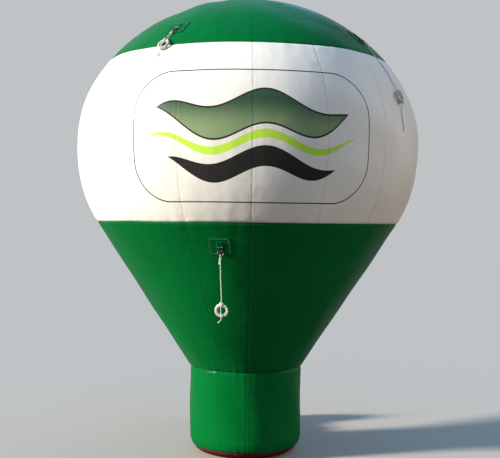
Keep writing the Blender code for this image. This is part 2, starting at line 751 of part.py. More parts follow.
def build_motor(finishes):
    """The motor can with a shaft hole, the switch box on it and the gland for the cable."""
    start = HOUSING_HALF + GAP
    end = start + MOTOR_LENGTH
    bearing = SHAFT_RADIUS + 2 * GAP
    rim = MOTOR_RADIUS + MOTOR_RIM
    line = [(0, start + SHAFT_SEAT), (bearing, start + SHAFT_SEAT), (bearing, start), (rim, start)]
    line += [(rim, start + MOTOR_RIM_THICK), (MOTOR_RADIUS, start + MOTOR_RIM_THICK)]
    line += [(MOTOR_RADIUS, end - MOTOR_CHAMFER), (MOTOR_RADIUS - MOTOR_CHAMFER, end), (0, end)]
    motor = turned_mesh("blower_motor", line, ROUND_SIDES)
    motor.transform(Matrix.Translation((0, FAN_Y, FAN_Z)) @ ALONG_X)
    place("blower_motor", motor, finishes["motor"])

    low = (start + BOX_FROM, FAN_Y - BOX_HALF, FAN_Z + MOTOR_RADIUS + GAP)
    high = (start + BOX_TO, FAN_Y + BOX_HALF, FAN_Z + MOTOR_RADIUS + BOX_TOP)
    place("switch_box", block("switch_box", low, high), finishes["grille"])

    near = high[1] + GAP
    tip = near + GLAND_LENGTH
    line = [(0, near), (GLAND_RADIUS, near), (GLAND_RADIUS, near + GLAND_COLLAR)]
    line += [(GLAND_TIP_RADIUS, tip), (0, tip)]
    gland = turned_mesh("power_inlet", line, GLAND_SIDES)
    at = ((low[0] + high[0]) / 2, 0, low[2] + GLAND_HEIGHT)
    gland.transform(Matrix.Translation(at) @ ALONG_Y)
    place("power_inlet", gland, finishes["grille"])


def blade_mesh():
    """The wheel's blades: thin bars along the axis, leaning back, that bite into plate and ring."""
    height = FAN_RADIUS - BLADE_BITE - BLADE_INNER
    section = [(-BLADE_HALF, 0), (BLADE_HALF, 0), (BLADE_HALF, height), (-BLADE_HALF, height)]
    lean = Matrix.Rotation(BLADE_LEAN, 4, "X")
    bm = bmesh.new()
    for k in range(BLADE_COUNT):
        turn = Matrix.Rotation(2 * pi * k / BLADE_COUNT, 4, "X")
        corners = []
        for x in (RING_X + BLADE_BITE, PLATE_X + BLADE_BITE):
            for y, z in section:
                spot = lean @ Vector((x, y, z)) + Vector((0, 0, BLADE_INNER))
                corners.append(bm.verts.new(turn @ spot))
        for face in ((0, 1, 2, 3), (4, 5, 6, 7), (0, 1, 5, 4), (1, 2, 6, 5), (2, 3, 7, 6), (3, 0, 4, 7)):
            bm.faces.new([corners[n] for n in face])
    return finish_mesh("impeller_blades", bm)


def build_impeller(finishes):
    """A squirrel-cage wheel on its shaft: back plate, hub, blades and front ring."""
    axis = bpy.data.objects.new("impeller_axis", None)
    bpy.context.scene.collection.objects.link(axis)
    axis.location = (0, FAN_Y, FAN_Z)
    plate_end = PLATE_X + WHEEL_SHEET
    hub_end = PLATE_X + HUB_REACH
    line = [(0, NOSE_X), (HUB_RADIUS, NOSE_X), (HUB_RADIUS, PLATE_X), (FAN_RADIUS, PLATE_X)]
    line += [(FAN_RADIUS, plate_end), (HUB_RADIUS, plate_end), (HUB_RADIUS, hub_end)]
    line += [(SHAFT_RADIUS, hub_end), (SHAFT_RADIUS, SHAFT_END_X), (0, SHAFT_END_X)]
    wheel = turned_mesh("impeller", line, ROUND_SIDES)
    wheel.transform(ALONG_X)
    impeller = place("impeller", wheel, finishes["impeller"], axis)
    combine(impeller, blade_mesh(), "UNION")
    end = RING_X + WHEEL_RING_THICK
    line = [(WHEEL_RING_INNER, RING_X), (FAN_RADIUS, RING_X), (FAN_RADIUS, end), (WHEEL_RING_INNER, end)]
    ring = turned_mesh("impeller_ring", line, ROUND_SIDES)
    ring.transform(ALONG_X)
    combine(impeller, ring, "UNION")


def build_stand(finishes):
    """A bent steel stand under the housing, with its feet turned outwards."""
    top = FAN_Z - SCROLL_FOOT - GAP
    sheet, front, back = STAND_SHEET, OUTLET_Y + STAND_FRONT, FAN_Y + STAND_BACK
    outline = [(front - STAND_FOOT, 0), (front, 0), (front, top - sheet), (back, top - sheet)]
    outline += [(back, 0), (back + STAND_FOOT, 0), (back + STAND_FOOT, sheet), (back + sheet, sheet)]
    outline += [(back + sheet, top), (front - sheet, top), (front - sheet, sheet)]
    outline.append((front - STAND_FOOT, sheet))
    place("blower_stand", prism("blower_stand", outline, STAND_HALF), finishes["steel"])


def build_handle(finishes):
    """A bent tube over the housing's top, lengthways with the fan's axis."""
    foot_z = FAN_Z + scroll_radius(pi / 2) + GAP
    bend_z = foot_z + HANDLE_RISE - HANDLE_BEND
    points = [Vector((-HANDLE_HALF, FAN_Y, foot_z))]
    for side, start in ((-1, pi), (1, pi / 2)):
        for turn in even_steps(start, start - pi / 2, HANDLE_BEND_STEPS):
            x = side * (HANDLE_HALF - HANDLE_BEND) + HANDLE_BEND * cos(turn)
            points.append(Vector((x, FAN_Y, bend_z + HANDLE_BEND * sin(turn))))
    points.append(Vector((HANDLE_HALF, FAN_Y, foot_z)))
    round_tube("carry_handle", points, HANDLE_RADIUS, finishes["grille"])


def main():
    """Build every piece of the balloon and its blower."""
    clear_scene()
    finishes = {
        "green": material("green_coated_fabric", (0.004, 0.150, 0.050), 0.30),
        "white": material("white_coated_fabric", (0.80, 0.79, 0.75), 0.30),
        "red": material("red_coated_fabric", (0.110, 0.010, 0.012), 0.40),
        "webbing": material("black_webbing", (0.012, 0.012, 0.013), 0.80),
        "steel": material("zinc_steel", (0.42, 0.42, 0.40), 0.35, 1.0),
        "rope": material("white_rope", (0.66, 0.64, 0.56), 0.75),
        "housing": material("blue_plastic", (0.030, 0.085, 0.240), 0.45),
        "grille": material("black_plastic", (0.015, 0.015, 0.017), 0.50),
        "motor": material("grey_motor", (0.20, 0.21, 0.22), 0.45, 1.0),
        "impeller": material("white_plastic", (0.62, 0.62, 0.60), 0.50),
    }
    build_envelope(finishes)
    build_tie_points(finishes)
    build_zip(finishes)
    build_sleeve(finishes)
    build_housing(finishes)
    build_outlet(finishes)
    build_grille(finishes)
    build_motor(finishes)
    build_impeller(finishes)
    build_stand(finishes)
    build_handle(finishes)


main()
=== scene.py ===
"""Looks of an inflatable advertising balloon and its blower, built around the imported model.

Metres, +Z up, the balloon's axis on the origin and its front along -Y. An azimuth is measured from
the front towards +X, so the blower stands at azimuth 180 degrees.
"""

from __future__ import annotations

import cmath
import logging
import math
from dataclasses import dataclass
from enum import Enum
from functools import cache
from typing import Callable, Iterable, Sequence

import bmesh
import bpy
import numpy as np
from mathutils import Matrix, Vector


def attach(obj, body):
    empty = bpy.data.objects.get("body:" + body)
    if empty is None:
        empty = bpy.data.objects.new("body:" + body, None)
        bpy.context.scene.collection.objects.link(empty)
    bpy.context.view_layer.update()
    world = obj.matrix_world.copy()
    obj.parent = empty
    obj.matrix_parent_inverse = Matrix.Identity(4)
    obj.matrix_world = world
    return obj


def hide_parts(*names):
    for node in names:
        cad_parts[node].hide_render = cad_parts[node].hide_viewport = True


log = logging.getLogger("balloon")
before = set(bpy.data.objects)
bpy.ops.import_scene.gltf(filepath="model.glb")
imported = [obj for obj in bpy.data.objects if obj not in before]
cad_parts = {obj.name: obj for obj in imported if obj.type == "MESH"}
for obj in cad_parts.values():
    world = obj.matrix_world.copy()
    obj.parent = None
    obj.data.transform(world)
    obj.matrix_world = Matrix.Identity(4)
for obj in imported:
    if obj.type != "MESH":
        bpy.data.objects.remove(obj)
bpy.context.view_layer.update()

Colour = tuple[float, float, float]
Socket = bpy.types.NodeSocket
Piece = bpy.types.Object
BALLOON = "balloon"
IMPELLER = "impeller"
GAP = 0.0003
MM = 0.001


# Shader helpers and shared node groups


class Nodes:
    """Adds nodes to one tree in few words."""

    def __init__(self, tree: bpy.types.NodeTree) -> None:
        """Take the tree to add to."""
        self.tree = tree

    def fill(self, node: bpy.types.Node, inputs: dict) -> None:
        """Link or set a node's inputs.

        Args:
            node: the node.
            inputs: a value or an output socket for each named or numbered input.
        """
        for key, value in inputs.items():
            socket = node.inputs[key]
            if isinstance(value, Socket):
                self.tree.links.new(value, socket)
            else:
                socket.default_value = (*value, 1.0) if socket.type == "RGBA" else value

    def add(self, kind: str, inputs: dict | None = None, **settings: object) -> bpy.types.Node:
        """Add a node.

        Args:
            kind: the node's type name.
            inputs: a value or an output socket for each named or numbered input.
            settings: the node's own properties.

        Returns:
            The new node.
        """
        node = self.tree.nodes.new(kind)
        for key, value in settings.items():
            setattr(node, key, value)
        self.fill(node, inputs or {})
        return node

    def math(self, operation: str, first: object, second: object = 0.0, third: object = 0.0) -> Socket:
        """The result of one Math node."""
        return self.add("ShaderNodeMath", {0: first, 1: second, 2: third}, operation=operation).outputs[0]

    def plus(self, first: object, second: object) -> Socket:
        """The sum of two values."""
        return self.math("ADD", first, second)

    def minus(self, first: object, second: object) -> Socket:
        """The first value less the second."""
        return self.math("SUBTRACT", first, second)

    def times(self, first: object, second: object) -> Socket:
        """The product of two values."""
        return self.math("MULTIPLY", first, second)

    def size(self, value: object) -> Socket:
        """The value without its sign."""
        return self.math("ABSOLUTE", value)

    def mix(self, share: object, low: object, high: object) -> Socket:
        """A mix of two colours, with this share of the second."""
        return self.add("ShaderNodeMix", {0: share, 6: low, 7: high}, data_type="RGBA").outputs[2]

    def step(self, value: object, low: float, high: float, start: float = 0.0, end: float = 1.0) -> Socket:
        """A smooth step from start to end as the value goes from low to high."""
        inputs = {0: value, 1: low, 2: high, 3: start, 4: end}
        return self.add("ShaderNodeMapRange", inputs, interpolation_type="SMOOTHSTEP").outputs[0]

    def noise(self, vector: object, scale: float, detail: float = 2.0, roughness: float = 0.5) -> Socket:
        """A noise value around 0.5."""
        inputs = {"Vector": vector, "Scale": scale, "Detail": detail, "Roughness": roughness}
        return self.add("ShaderNodeTexNoise", inputs).outputs[0]

    def stretch(self, vector: object, scale: Sequence[float]) -> Socket:
        """The vector multiplied axis by axis."""
        return self.add("ShaderNodeMapping", {"Vector": vector, "Scale": scale}).outputs[0]

    def split(self, vector: object) -> tuple[Socket, Socket, Socket]:
        """The vector's three numbers."""
        parts = self.add("ShaderNodeSeparateXYZ", {0: vector}).outputs
        return parts[0], parts[1], parts[2]

    def bump(self, height: object, distance: float, strength: float, **under: Socket) -> Socket:
        """A normal tilted by a height field, on top of another one given as Normal."""
        inputs = {"Height": height, "Distance": distance, "Strength": strength}
        return self.add("ShaderNodeBump", inputs | under).outputs[0]

    def group(self, tree: bpy.types.NodeTree, inputs: dict) -> bpy.types.bpy_prop_collection:
        """The outputs of a node that runs this group."""
        return self.add("ShaderNodeGroup", inputs, node_tree=tree).outputs

    def place(self) -> Socket:
        """The point's place on the piece, in metres."""
        return self.add("ShaderNodeTexCoord").outputs["Object"]

    def uv(self, name: str) -> Socket:
        """The point's place on a named UV map."""
        return self.add("ShaderNodeUVMap", uv_map=name).outputs[0]

    def value_of(self, name: str) -> Socket:
        """The number that a named attribute has at the point."""
        return self.add("ShaderNodeAttribute", attribute_name=name).outputs["Fac"]

    def camera_ray(self) -> Socket:
        """One where the camera looks at the point itself, otherwise zero."""
        return self.add("ShaderNodeLightPath").outputs["Is Camera Ray"]


def start_tree(name: str, kind: str, inputs: dict[str, str], outputs: dict[str, str]) -> tuple:
    """Begin a node tree.

    Args:
        name: the tree's name.
        kind: Shader or Geometry.
        inputs: each input's name with its kind, such as Vector or Float.
        outputs: the same for the outputs.

    Returns:
        The tree's node helper, its inputs by name and its output node.
    """
    tree = bpy.data.node_groups.new(name, f"{kind}NodeTree")
    for way, sockets in (("INPUT", inputs), ("OUTPUT", outputs)):
        for label, socket in sockets.items():
            tree.interface.new_socket(label, in_out=way, socket_type=f"NodeSocket{socket}")
    nodes = Nodes(tree)
    return nodes, nodes.add("NodeGroupInput").outputs, nodes.add("NodeGroupOutput")


@cache
def weave_group() -> bpy.types.NodeTree:
    """A plain weave on a UV map in metres: threads that pass over and under each other.

    Returns:
        The node group.
    """
    inputs = {"Vector": "Vector", "Thread": "Float"}
    nodes, given, result = start_tree("plain_weave", "Shader", inputs, {"Height": "Float"})
    across, along, _ = nodes.split(given["Vector"])
    turns = [nodes.times(nodes.math("DIVIDE", axis, given["Thread"]), math.pi) for axis in (across, along)]
    warp, weft = (nodes.size(nodes.math("SINE", turn)) for turn in turns)
    over, under = (nodes.math("SINE", nodes.plus(turn, math.pi / 2)) for turn in turns)
    side = nodes.step(nodes.times(over, under), -0.3, 0.3)
    nodes.fill(result, {"Height": nodes.add("ShaderNodeMix", {0: side, 2: warp, 3: weft}).outputs[0]})
    return nodes.tree


@cache
def coated_cloth_group() -> bpy.types.NodeTree:
    """Coated fabric under tension: weave, soft dents, fine crinkles, dust, and a darker band along the seams:
    partly the double layer of cloth, partly painted shade in the seam creases.

    Returns:
        The node group.
    """
    inputs = {"Cloth": "Vector", "Place": "Vector", "Colour": "Color", "Dust": "Color"}
    inputs |= {label: "Float" for label in ("Dust Amount", "Gloss Spread", "Seam", "Thread", "Dents")}
    outputs = {"Colour": "Color", "Roughness": "Float", "Normal": "Vector"}
    nodes, given, result = start_tree("coated_cloth", "Shader", inputs, outputs)
    place = given["Place"]

    broad = nodes.noise(place, 1.7, 3.0)
    tone = nodes.step(broad, 0.30, 0.70, 0.93, 1.05)
    # Within 9 mm of a seam or level join the colour is darkened: partly the double layer of cloth, partly
    # painted shade in the seam creases.
    shade = nodes.times(tone, nodes.step(given["Seam"], 0.0, 0.009, 0.80, 1.0))
    scaled = {0: given["Colour"], "Scale": shade}
    toned = nodes.add("ShaderNodeVectorMath", scaled, operation="SCALE").outputs[0]
    speckle = nodes.step(nodes.noise(place, 38.0, 4.0, 0.6), 0.42, 0.80)
    streak = nodes.step(nodes.noise(nodes.stretch(place, (9.0, 9.0, 1.1)), 1.0, 3.0), 0.45, 0.75)
    near_floor = nodes.step(nodes.split(place)[2], 0.02, 0.30, 1.6, 0.0)
    patchy = nodes.plus(nodes.times(speckle, 0.5), nodes.times(streak, 0.6))
    patchy = nodes.plus(patchy, nodes.times(near_floor, speckle))
    dusty = nodes.times(patchy, given["Dust Amount"])
    wiped = nodes.times(nodes.minus(broad, 0.5), 0.20)
    rough = nodes.plus(given["Gloss Spread"], nodes.plus(wiped, nodes.times(dusty, 0.9)))

    weave = nodes.group(weave_group(), {"Vector": given["Cloth"], "Thread": given["Thread"]})[0]
    soft = nodes.noise(nodes.stretch(place, (1.0, 1.0, 0.55)), 5.5, 2.0)
    crinkle = nodes.noise(nodes.stretch(place, (1.0, 1.0, 0.6)), 24.0, 3.0, 0.55)
    dented = nodes.bump(nodes.times(soft, given["Dents"]), 0.010, 0.75)
    near_seam = nodes.step(given["Seam"], 0.004, 0.060, 1.0, 0.25)
    puckered = nodes.bump(nodes.times(crinkle, near_seam), 0.0016, 0.8, Normal=dented)
    woven = nodes.bump(weave, 0.00006, 0.8, Normal=puckered)
    colour = nodes.mix(dusty, toned, given["Dust"])
    nodes.fill(result, {"Colour": colour, "Roughness": rough, "Normal": woven})
    return nodes.tree


@cache
def wear_group() -> bpy.types.NodeTree:
    """Handling wear on hard parts: scuffs, rubbed patches and dust that lies on top.

    Returns:
        The node group.
    """
    inputs = {"Place": "Vector", "Colour": "Color", "Rubbed": "Color", "Amount": "Float", "Spread": "Float"}
    outputs = {"Colour": "Color", "Roughness": "Float", "Height": "Float"}
    nodes, given, result = start_tree("handling_wear", "Shader", inputs, outputs)
    place = given["Place"]
    scuffs = nodes.step(nodes.noise(nodes.stretch(place, (1.0, 6.0, 2.0)), 60.0, 4.0, 0.7), 0.60, 0.78)
    rubbed = nodes.step(nodes.noise(place, 14.0, 4.0, 0.65), 0.50, 0.75)
    up = nodes.split(nodes.add("ShaderNodeNewGeometry").outputs["Normal"])[2]
    dust = nodes.times(nodes.step(up, 0.3, 0.95), nodes.step(nodes.noise(place, 25.0, 3.0), 0.35, 0.7))
    share = nodes.times(nodes.plus(nodes.times(scuffs, rubbed), nodes.times(dust, 0.5)), given["Amount"])
    rough = nodes.plus(given["Spread"], nodes.times(share, 0.6))
    height = nodes.minus(nodes.noise(place, 900.0, 2.0, 0.6), nodes.times(scuffs, 0.6))
    worn = nodes.mix(share, given["Colour"], given["Rubbed"])
    nodes.fill(result, {"Colour": worn, "Roughness": rough, "Height": height})
    return nodes.tree


@dataclass(frozen=True)
class Emblem:
    """The plain printed field on the belt: a thin rounded frame around three waving ribbons.

    Each ribbon row: centre height, wave height, wave length, half thickness, half length, shift.
    """

    centre_z: float = 2.012
    half_width: float = 0.735
    half_height: float = 0.375
    corner: float = 0.230
    line: float = 0.0042
    ink: Colour = (0.030, 0.028, 0.026)
    lime: Colour = (0.520, 0.800, 0.075)
    sage_light: Colour = (0.245, 0.330, 0.170)
    sage_dark: Colour = (0.040, 0.085, 0.045)
    charcoal: Colour = (0.026, 0.024, 0.022)
    sage_row: tuple = (0.115, 0.050, 0.62, 0.092, 0.560, 0.08)
    lime_row: tuple = (-0.040, 0.050, 0.62, 0.024, 0.640, 0.08)
    charcoal_row: tuple = (-0.165, 0.050, 0.62, 0.058, 0.500, 0.08)
    outline: float = 0.011
    edge: float = 0.0012

    def ribbon(self, nodes: Nodes, u: Socket, v: Socket, row: tuple, grow: float) -> Socket:
        """A mask of one ribbon, whose ends taper to a point.

        Args:
            nodes: the helper of the tree to add to.
            u: metres along the belt from the print's middle.
            v: metres above the print's middle.
            row: the ribbon's sizes.
            grow: how far the mask reaches past the ribbon's edge.

        Returns:
            The mask's socket.
        """
        centre, wave, length, half, reach, shift = row
        turn = nodes.math("MULTIPLY_ADD", u, 2 * math.pi / length, 2 * math.pi * shift / length)
        swing = nodes.math("MULTIPLY_ADD", nodes.math("SINE", turn), wave, centre)
        apart = nodes.size(nodes.minus(v, swing))
        out = nodes.math("POWER", nodes.math("DIVIDE", nodes.size(u), reach), 3.0)
        thick = nodes.times(nodes.minus(1.0, out), half)
        return nodes.step(nodes.minus(nodes.plus(thick, grow), apart), -self.edge, self.edge)

    def paint(self, nodes: Nodes, ground: Colour) -> Socket:
        """The printed colour over the fabric's own.

        Args:
            nodes: the helper of the tree to add to.
            ground: the fabric's colour.

        Returns:
            The colour's socket.
        """
        u, v, _ = nodes.split(nodes.uv("print"))
        side = nodes.minus(nodes.size(u), self.half_width - self.corner)
        top = nodes.minus(nodes.size(v), self.half_height - self.corner)
        past = [nodes.math("MAXIMUM", reach, 0.0) for reach in (side, top)]
        squares = nodes.plus(*[nodes.times(reach, reach) for reach in past])
        within = nodes.math("MINIMUM", nodes.math("MAXIMUM", side, top), 0.0)
        rim = nodes.minus(nodes.plus(nodes.math("SQRT", squares), within), self.corner)
        painted = nodes.mix(nodes.step(nodes.size(rim), self.line, self.line * 0.6), ground, self.ink)
        sage = nodes.mix(nodes.step(v, 0.02, 0.21), self.sage_light, self.sage_dark)
        layers = [(self.sage_row, self.outline, self.ink), (self.sage_row, 0.0, sage)]
        layers += [(self.lime_row, 0.0, self.lime), (self.charcoal_row, 0.0, self.charcoal)]
        for row, grow, colour in layers:
            painted = nodes.mix(self.ribbon(nodes, u, v, row, grow), painted, colour)
        return painted


# Finishes


@dataclass(frozen=True)
class Finish:
    """A surface that becomes one procedural material."""

    name: str
    colour: Colour
    roughness: float

    @cache
    def material(self) -> bpy.types.Material:
        """This finish's material, made once.

        Returns:
            The material.
        """
        made = bpy.data.materials.new(self.name)
        made.use_nodes = True
        nodes = Nodes(made.node_tree)
        shader = made.node_tree.nodes["Principled BSDF"]
        nodes.fill(shader, {"Base Color": self.colour, "Roughness": self.roughness})
        nodes.fill(shader, self.dress(nodes))
        return made

    def dress(self, nodes: Nodes) -> dict:
        """What this finish feeds to its shader's inputs."""
        raise NotImplementedError


@dataclass(frozen=True)
class CoatedCloth(Finish):
    """Coated polyester, glossy and slightly dusty; it may carry the emblem. Its gloss and sheen are tinted
    blue: a painted sky reflection.
    """

    thread: float = 0.0012
    dust: Colour = (0.30, 0.29, 0.26)
    dust_amount: float = 0.003
    dents: float = 1.0
    shine: float = 0.05
    # Blue tints on the gloss and the sheen: a painted reflection of a blue sky.
    painted_sky_shine_tint: Colour = (0.50, 0.85, 1.0)
    sheen: float = 0.10
    painted_sky_sheen_tint: Colour = (0.10, 0.50, 1.0)
    emblem: Emblem | None = None
    gore_seams: bool = True

    def dress(self, nodes: Nodes) -> dict:
        """Weave, dents, dust, the print, and the blue tint on gloss and sheen that paints a sky reflection.

        Args:
            nodes: what makes nodes in the material.

        Returns:
            The shader's inputs and what feeds them.
        """
        base = self.emblem.paint(nodes, self.colour) if self.emblem else self.colour
        values = {"Cloth": nodes.uv("cloth"), "Place": nodes.place(), "Colour": base, "Dust": self.dust}
        values |= {"Dust Amount": self.dust_amount, "Gloss Spread": self.roughness, "Thread": self.thread}
        values |= {"Dents": self.dents, "Seam": nodes.value_of("seam") if self.gore_seams else 1.0}
        cloth = nodes.group(coated_cloth_group(), values)
        looks = {"Base Color": cloth["Colour"], "Roughness": cloth["Roughness"], "Normal": cloth["Normal"]}
        # The blue specular and sheen tints paint a sky reflection onto the cloth's gloss.
        looks |= {"Specular IOR Level": self.shine, "Specular Tint": self.painted_sky_shine_tint}
        return looks | {"Sheen Weight": self.sheen, "Sheen Roughness": 0.30, "Sheen Tint": self.painted_sky_sheen_tint}


@dataclass(frozen=True)
class Webbing(Finish):
    """Woven tape with ribs across it and a matt, slightly faded face."""

    faded: Colour = (0.036, 0.035, 0.033)
    rib: float = 0.0022

    def dress(self, nodes: Nodes) -> dict:
        """The ribs, the yarns and the fading.

        Args:
            nodes: what makes nodes in the material.

        Returns:
            The shader's inputs and what feeds them.
        """
        weave = nodes.group(weave_group(), {"Vector": nodes.uv("cloth"), "Thread": self.rib})[0]
        height = nodes.plus(weave, nodes.times(nodes.noise(nodes.place(), 1400.0, 2.0), 0.4))
        worn = nodes.step(nodes.noise(nodes.place(), 90.0, 3.0), 0.45, 0.75)
        colour = nodes.mix(nodes.times(worn, nodes.times(weave, 0.7)), self.colour, self.faded)
        looks = {"Base Color": colour, "Normal": nodes.bump(height, 0.0004, 0.9)}
        return looks | {"Sheen Weight": 0.06, "Sheen Roughness": 0.5}


@dataclass(frozen=True)
class RopeYarn(Finish):
    """Laid synthetic rope: fine yarns along each strand, patches of dirt, and a darker tone in the grooves
    between strands.
    """

    groove_and_dirt_tone: Colour = (0.30, 0.26, 0.19)

    def dress(self, nodes: Nodes) -> dict:
        """Yarns that follow the strands, patches of dirt and a darker tone in the grooves.

        Args:
            nodes: what makes nodes in the material.

        Returns:
            The shader's inputs and what feeds them.
        """
        around, along, _ = nodes.split(nodes.uv("cord"))
        lean = nodes.minus(nodes.times(around, 24.0), nodes.times(along, 900.0))
        yarn = nodes.math("SINE", nodes.times(lean, 2.0))
        height = nodes.plus(yarn, nodes.times(nodes.noise(nodes.place(), 1800.0, 2.0), 1.5))
        dirt = nodes.step(nodes.noise(nodes.place(), 120.0, 4.0, 0.6), 0.42, 0.72)
        # The grooves between the strands are made darker and browner.
        groove = nodes.step(nodes.value_of("groove"), 0.2, 0.9)
        share = nodes.plus(nodes.times(dirt, 0.22), nodes.times(groove, 0.42))
        looks = {"Base Color": nodes.mix(share, self.colour, self.groove_and_dirt_tone), "Sheen Weight": 0.2}
        return looks | {"Normal": nodes.bump(height, 0.00022, 0.9)}


@dataclass(frozen=True)
class Thread(Finish):
    """Sewing thread with a twist."""

    darkening: float = 0.72

    def dress(self, nodes: Nodes) -> dict:
        """The twist and a slight change of tone.

        Args:
            nodes: what makes nodes in the material.

        Returns:
            The shader's inputs and what feeds them.
        """
        twist = nodes.noise(nodes.place(), 2600.0, 1.0)
        dark = tuple(self.darkening * part for part in self.colour)
        share = nodes.step(nodes.noise(nodes.place(), 160.0, 2.0), 0.35, 0.7)
        return {"Base Color": nodes.mix(share, self.colour, dark), "Normal": nodes.bump(twist, 0.0002, 0.8)}


@dataclass(frozen=True)
class Moulded(Finish):
    """Moulded plastic with a fine spark-eroded grain and rubbed patches."""

    rubbed: Colour = (0.35, 0.36, 0.38)
    amount: float = 0.25
    grain: float = 0.00012

    def dress(self, nodes: Nodes) -> dict:
        """Grain, scuffs and dust.

        Args:
            nodes: what makes nodes in the material.

        Returns:
            The shader's inputs and what feeds them.
        """
        values = {"Place": nodes.place(), "Colour": self.colour, "Rubbed": self.rubbed}
        wear = nodes.group(wear_group(), values | {"Amount": self.amount, "Spread": self.roughness})
        looks = {"Base Color": wear["Colour"], "Roughness": wear["Roughness"]}
        return looks | {"Normal": nodes.bump(wear["Height"], self.grain, 0.7)}


@dataclass(frozen=True)
class Metal(Moulded):
    """Plated or painted metal with scuffs that lie in one direction."""

    def dress(self, nodes: Nodes) -> dict:
        """The wear, on metal."""
        return super().dress(nodes) | {"Metallic": 1.0}


EMBLEM = Emblem()
GREEN = CoatedCloth("green_coated_cloth", (0.0004, 0.122, 0.022), 0.30)
WHITE = CoatedCloth(
    "white_coated_cloth", (0.82, 0.785, 0.73), 0.32, dust_amount=0.020, shine=0.10, sheen=0.0, emblem=EMBLEM
)
RED = CoatedCloth(
    "red_coated_cloth", (0.110, 0.005, 0.008), 0.40, dust_amount=0.05, sheen=0.0, gore_seams=False
)
GREEN_SLEEVE = CoatedCloth("green_sleeve_cloth", (0.0004, 0.118, 0.021), 0.34, gore_seams=False)
PATCH = CoatedCloth("green_patch_cloth", (0.0005, 0.102, 0.021), 0.36, gore_seams=False, dents=0.3)
BLACK_TAPE = Webbing("black_woven_tape", (0.010, 0.010, 0.011), 0.85)
RED_TAPE = Webbing("red_woven_tape", (0.32, 0.012, 0.012), 0.80, faded=(0.42, 0.06, 0.05), rib=0.0018)
ROPE = RopeYarn("laid_white_rope", (0.88, 0.86, 0.78), 0.78)
GREEN_THREAD = Thread("green_thread", (0.010, 0.150, 0.050), 0.60)
PALE_THREAD = Thread("pale_thread", (0.24, 0.42, 0.27), 0.60)
WHITE_THREAD = Thread("white_thread", (0.78, 0.78, 0.74), 0.60)
BLACK_THREAD = Thread("black_thread", (0.020, 0.020, 0.022), 0.60)
ZINC = Metal("zinc_plated_steel", (0.56, 0.56, 0.54), 0.30, (0.30, 0.28, 0.24), grain=0.00005)
ZINC_SHEET = Metal("zinc_plated_sheet", (0.50, 0.50, 0.49), 0.38, (0.27, 0.25, 0.22), 0.5, 0.00008)
BLUE = Moulded("blue_moulded_plastic", (0.022, 0.075, 0.260), 0.42)
BLACK = Moulded("black_moulded_plastic", (0.014, 0.014, 0.016), 0.48, (0.11, 0.11, 0.11))
GREY = Metal("grey_painted_motor", (0.30, 0.31, 0.33), 0.42, (0.55, 0.54, 0.52), 0.2)
IVORY = Moulded("white_moulded_plastic", (0.66, 0.66, 0.63), 0.45, (0.38, 0.37, 0.33), 0.35)
AGED_ZINC = Metal("aged_zinc_ring", (0.17, 0.17, 0.165), 0.42, (0.34, 0.33, 0.30), 0.4, 0.00005)
RUBBER = Moulded("black_rubber", (0.010, 0.010, 0.010), 0.80, (0.09, 0.088, 0.08), 0.5)
SWITCH_RED = Moulded("red_rocker_plastic", (0.42, 0.012, 0.010), 0.35, (0.5, 0.2, 0.18), 0.1)


# Mesh helpers


def in_scene(name: str, data: bpy.types.ID | None) -> Piece:
    """A new object in the scene.

    Args:
        name: its name.
        data: its mesh, lamp or camera.

    Returns:
        The object.
    """
    obj = bpy.data.objects.new(name, data)
    bpy.context.scene.collection.objects.link(obj)
    return obj


def sharpen(piece: Piece, degrees: float) -> None:
    """Mark the edges sharper than this angle."""
    piece.data.set_sharp_from_angle(angle=math.radians(degrees))


def mesh_object(name: str, points: Iterable, faces: Iterable, finish: Finish) -> Piece:
    """A smooth-shaded object at the origin.

    Args:
        name: the piece's name.
        points: the corners, in metres.
        faces: the corner numbers of each face.
        finish: what it is made of.

    Returns:
        The new object.
    """
    mesh = bpy.data.meshes.new(name)
    mesh.from_pydata([tuple(p) for p in points], [], [tuple(f) for f in faces])
    mesh.materials.append(finish.material())
    mesh.shade_smooth()
    return in_scene(name, mesh)


def bm_object(name: str, bm: bmesh.types.BMesh, finish: Finish) -> Piece:
    """An object of this bmesh, smooth up to an angle.

    Args:
        name: the piece's name.
        bm: the bmesh, which is freed.
        finish: what it is made of.

    Returns:
        The new object.
    """
    bmesh.ops.remove_doubles(bm, verts=bm.verts, dist=1e-6)
    bmesh.ops.recalc_face_normals(bm, faces=bm.faces)
    mesh = bpy.data.meshes.new(name)
    bm.to_mesh(mesh)
    bm.free()
    mesh.materials.append(finish.material())
    mesh.shade_smooth()
    piece = in_scene(name, mesh)
    sharpen(piece, 35)
    return piece


def applied(obj: Piece) -> Piece:
    """Turn an object's modifiers into plain mesh.

    Args:
        obj: the object.

    Returns:
        The same object with its new mesh.
    """
    graph = bpy.context.evaluated_depsgraph_get()
    graph.update()
    shaped = obj.evaluated_get(graph)
    old = obj.data
    obj.data = bpy.data.meshes.new_from_object(shaped, preserve_all_data_layers=True, depsgraph=graph)
    obj.modifiers.clear()
    bpy.data.meshes.remove(old)
    return obj


def thicken(obj: Piece, thickness: float, inward: bool = True) -> None:
    """Give a surface a wall.

    Args:
        obj: the surface.
        thickness: the wall's thickness.
        inward: whether the wall is on the surface's inner side.
    """
    solid = obj.modifiers.new("Wall", "SOLIDIFY")
    solid.thickness = thickness
    solid.offset = -1.0 if inward else 1.0
    applied(obj)


def join(name: str, objects: Sequence[Piece]) -> Piece:
    """Make one piece of several.

    Args:
        name: the new piece's name.
        objects: what goes into it; the first one's mesh takes in the others.

    Returns:
        The joined object.
    """
    with bpy.context.temp_override(active_object=objects[0], selected_editable_objects=list(objects)):
        bpy.ops.object.join()
    objects[0].name = objects[0].data.name = name
    return objects[0]


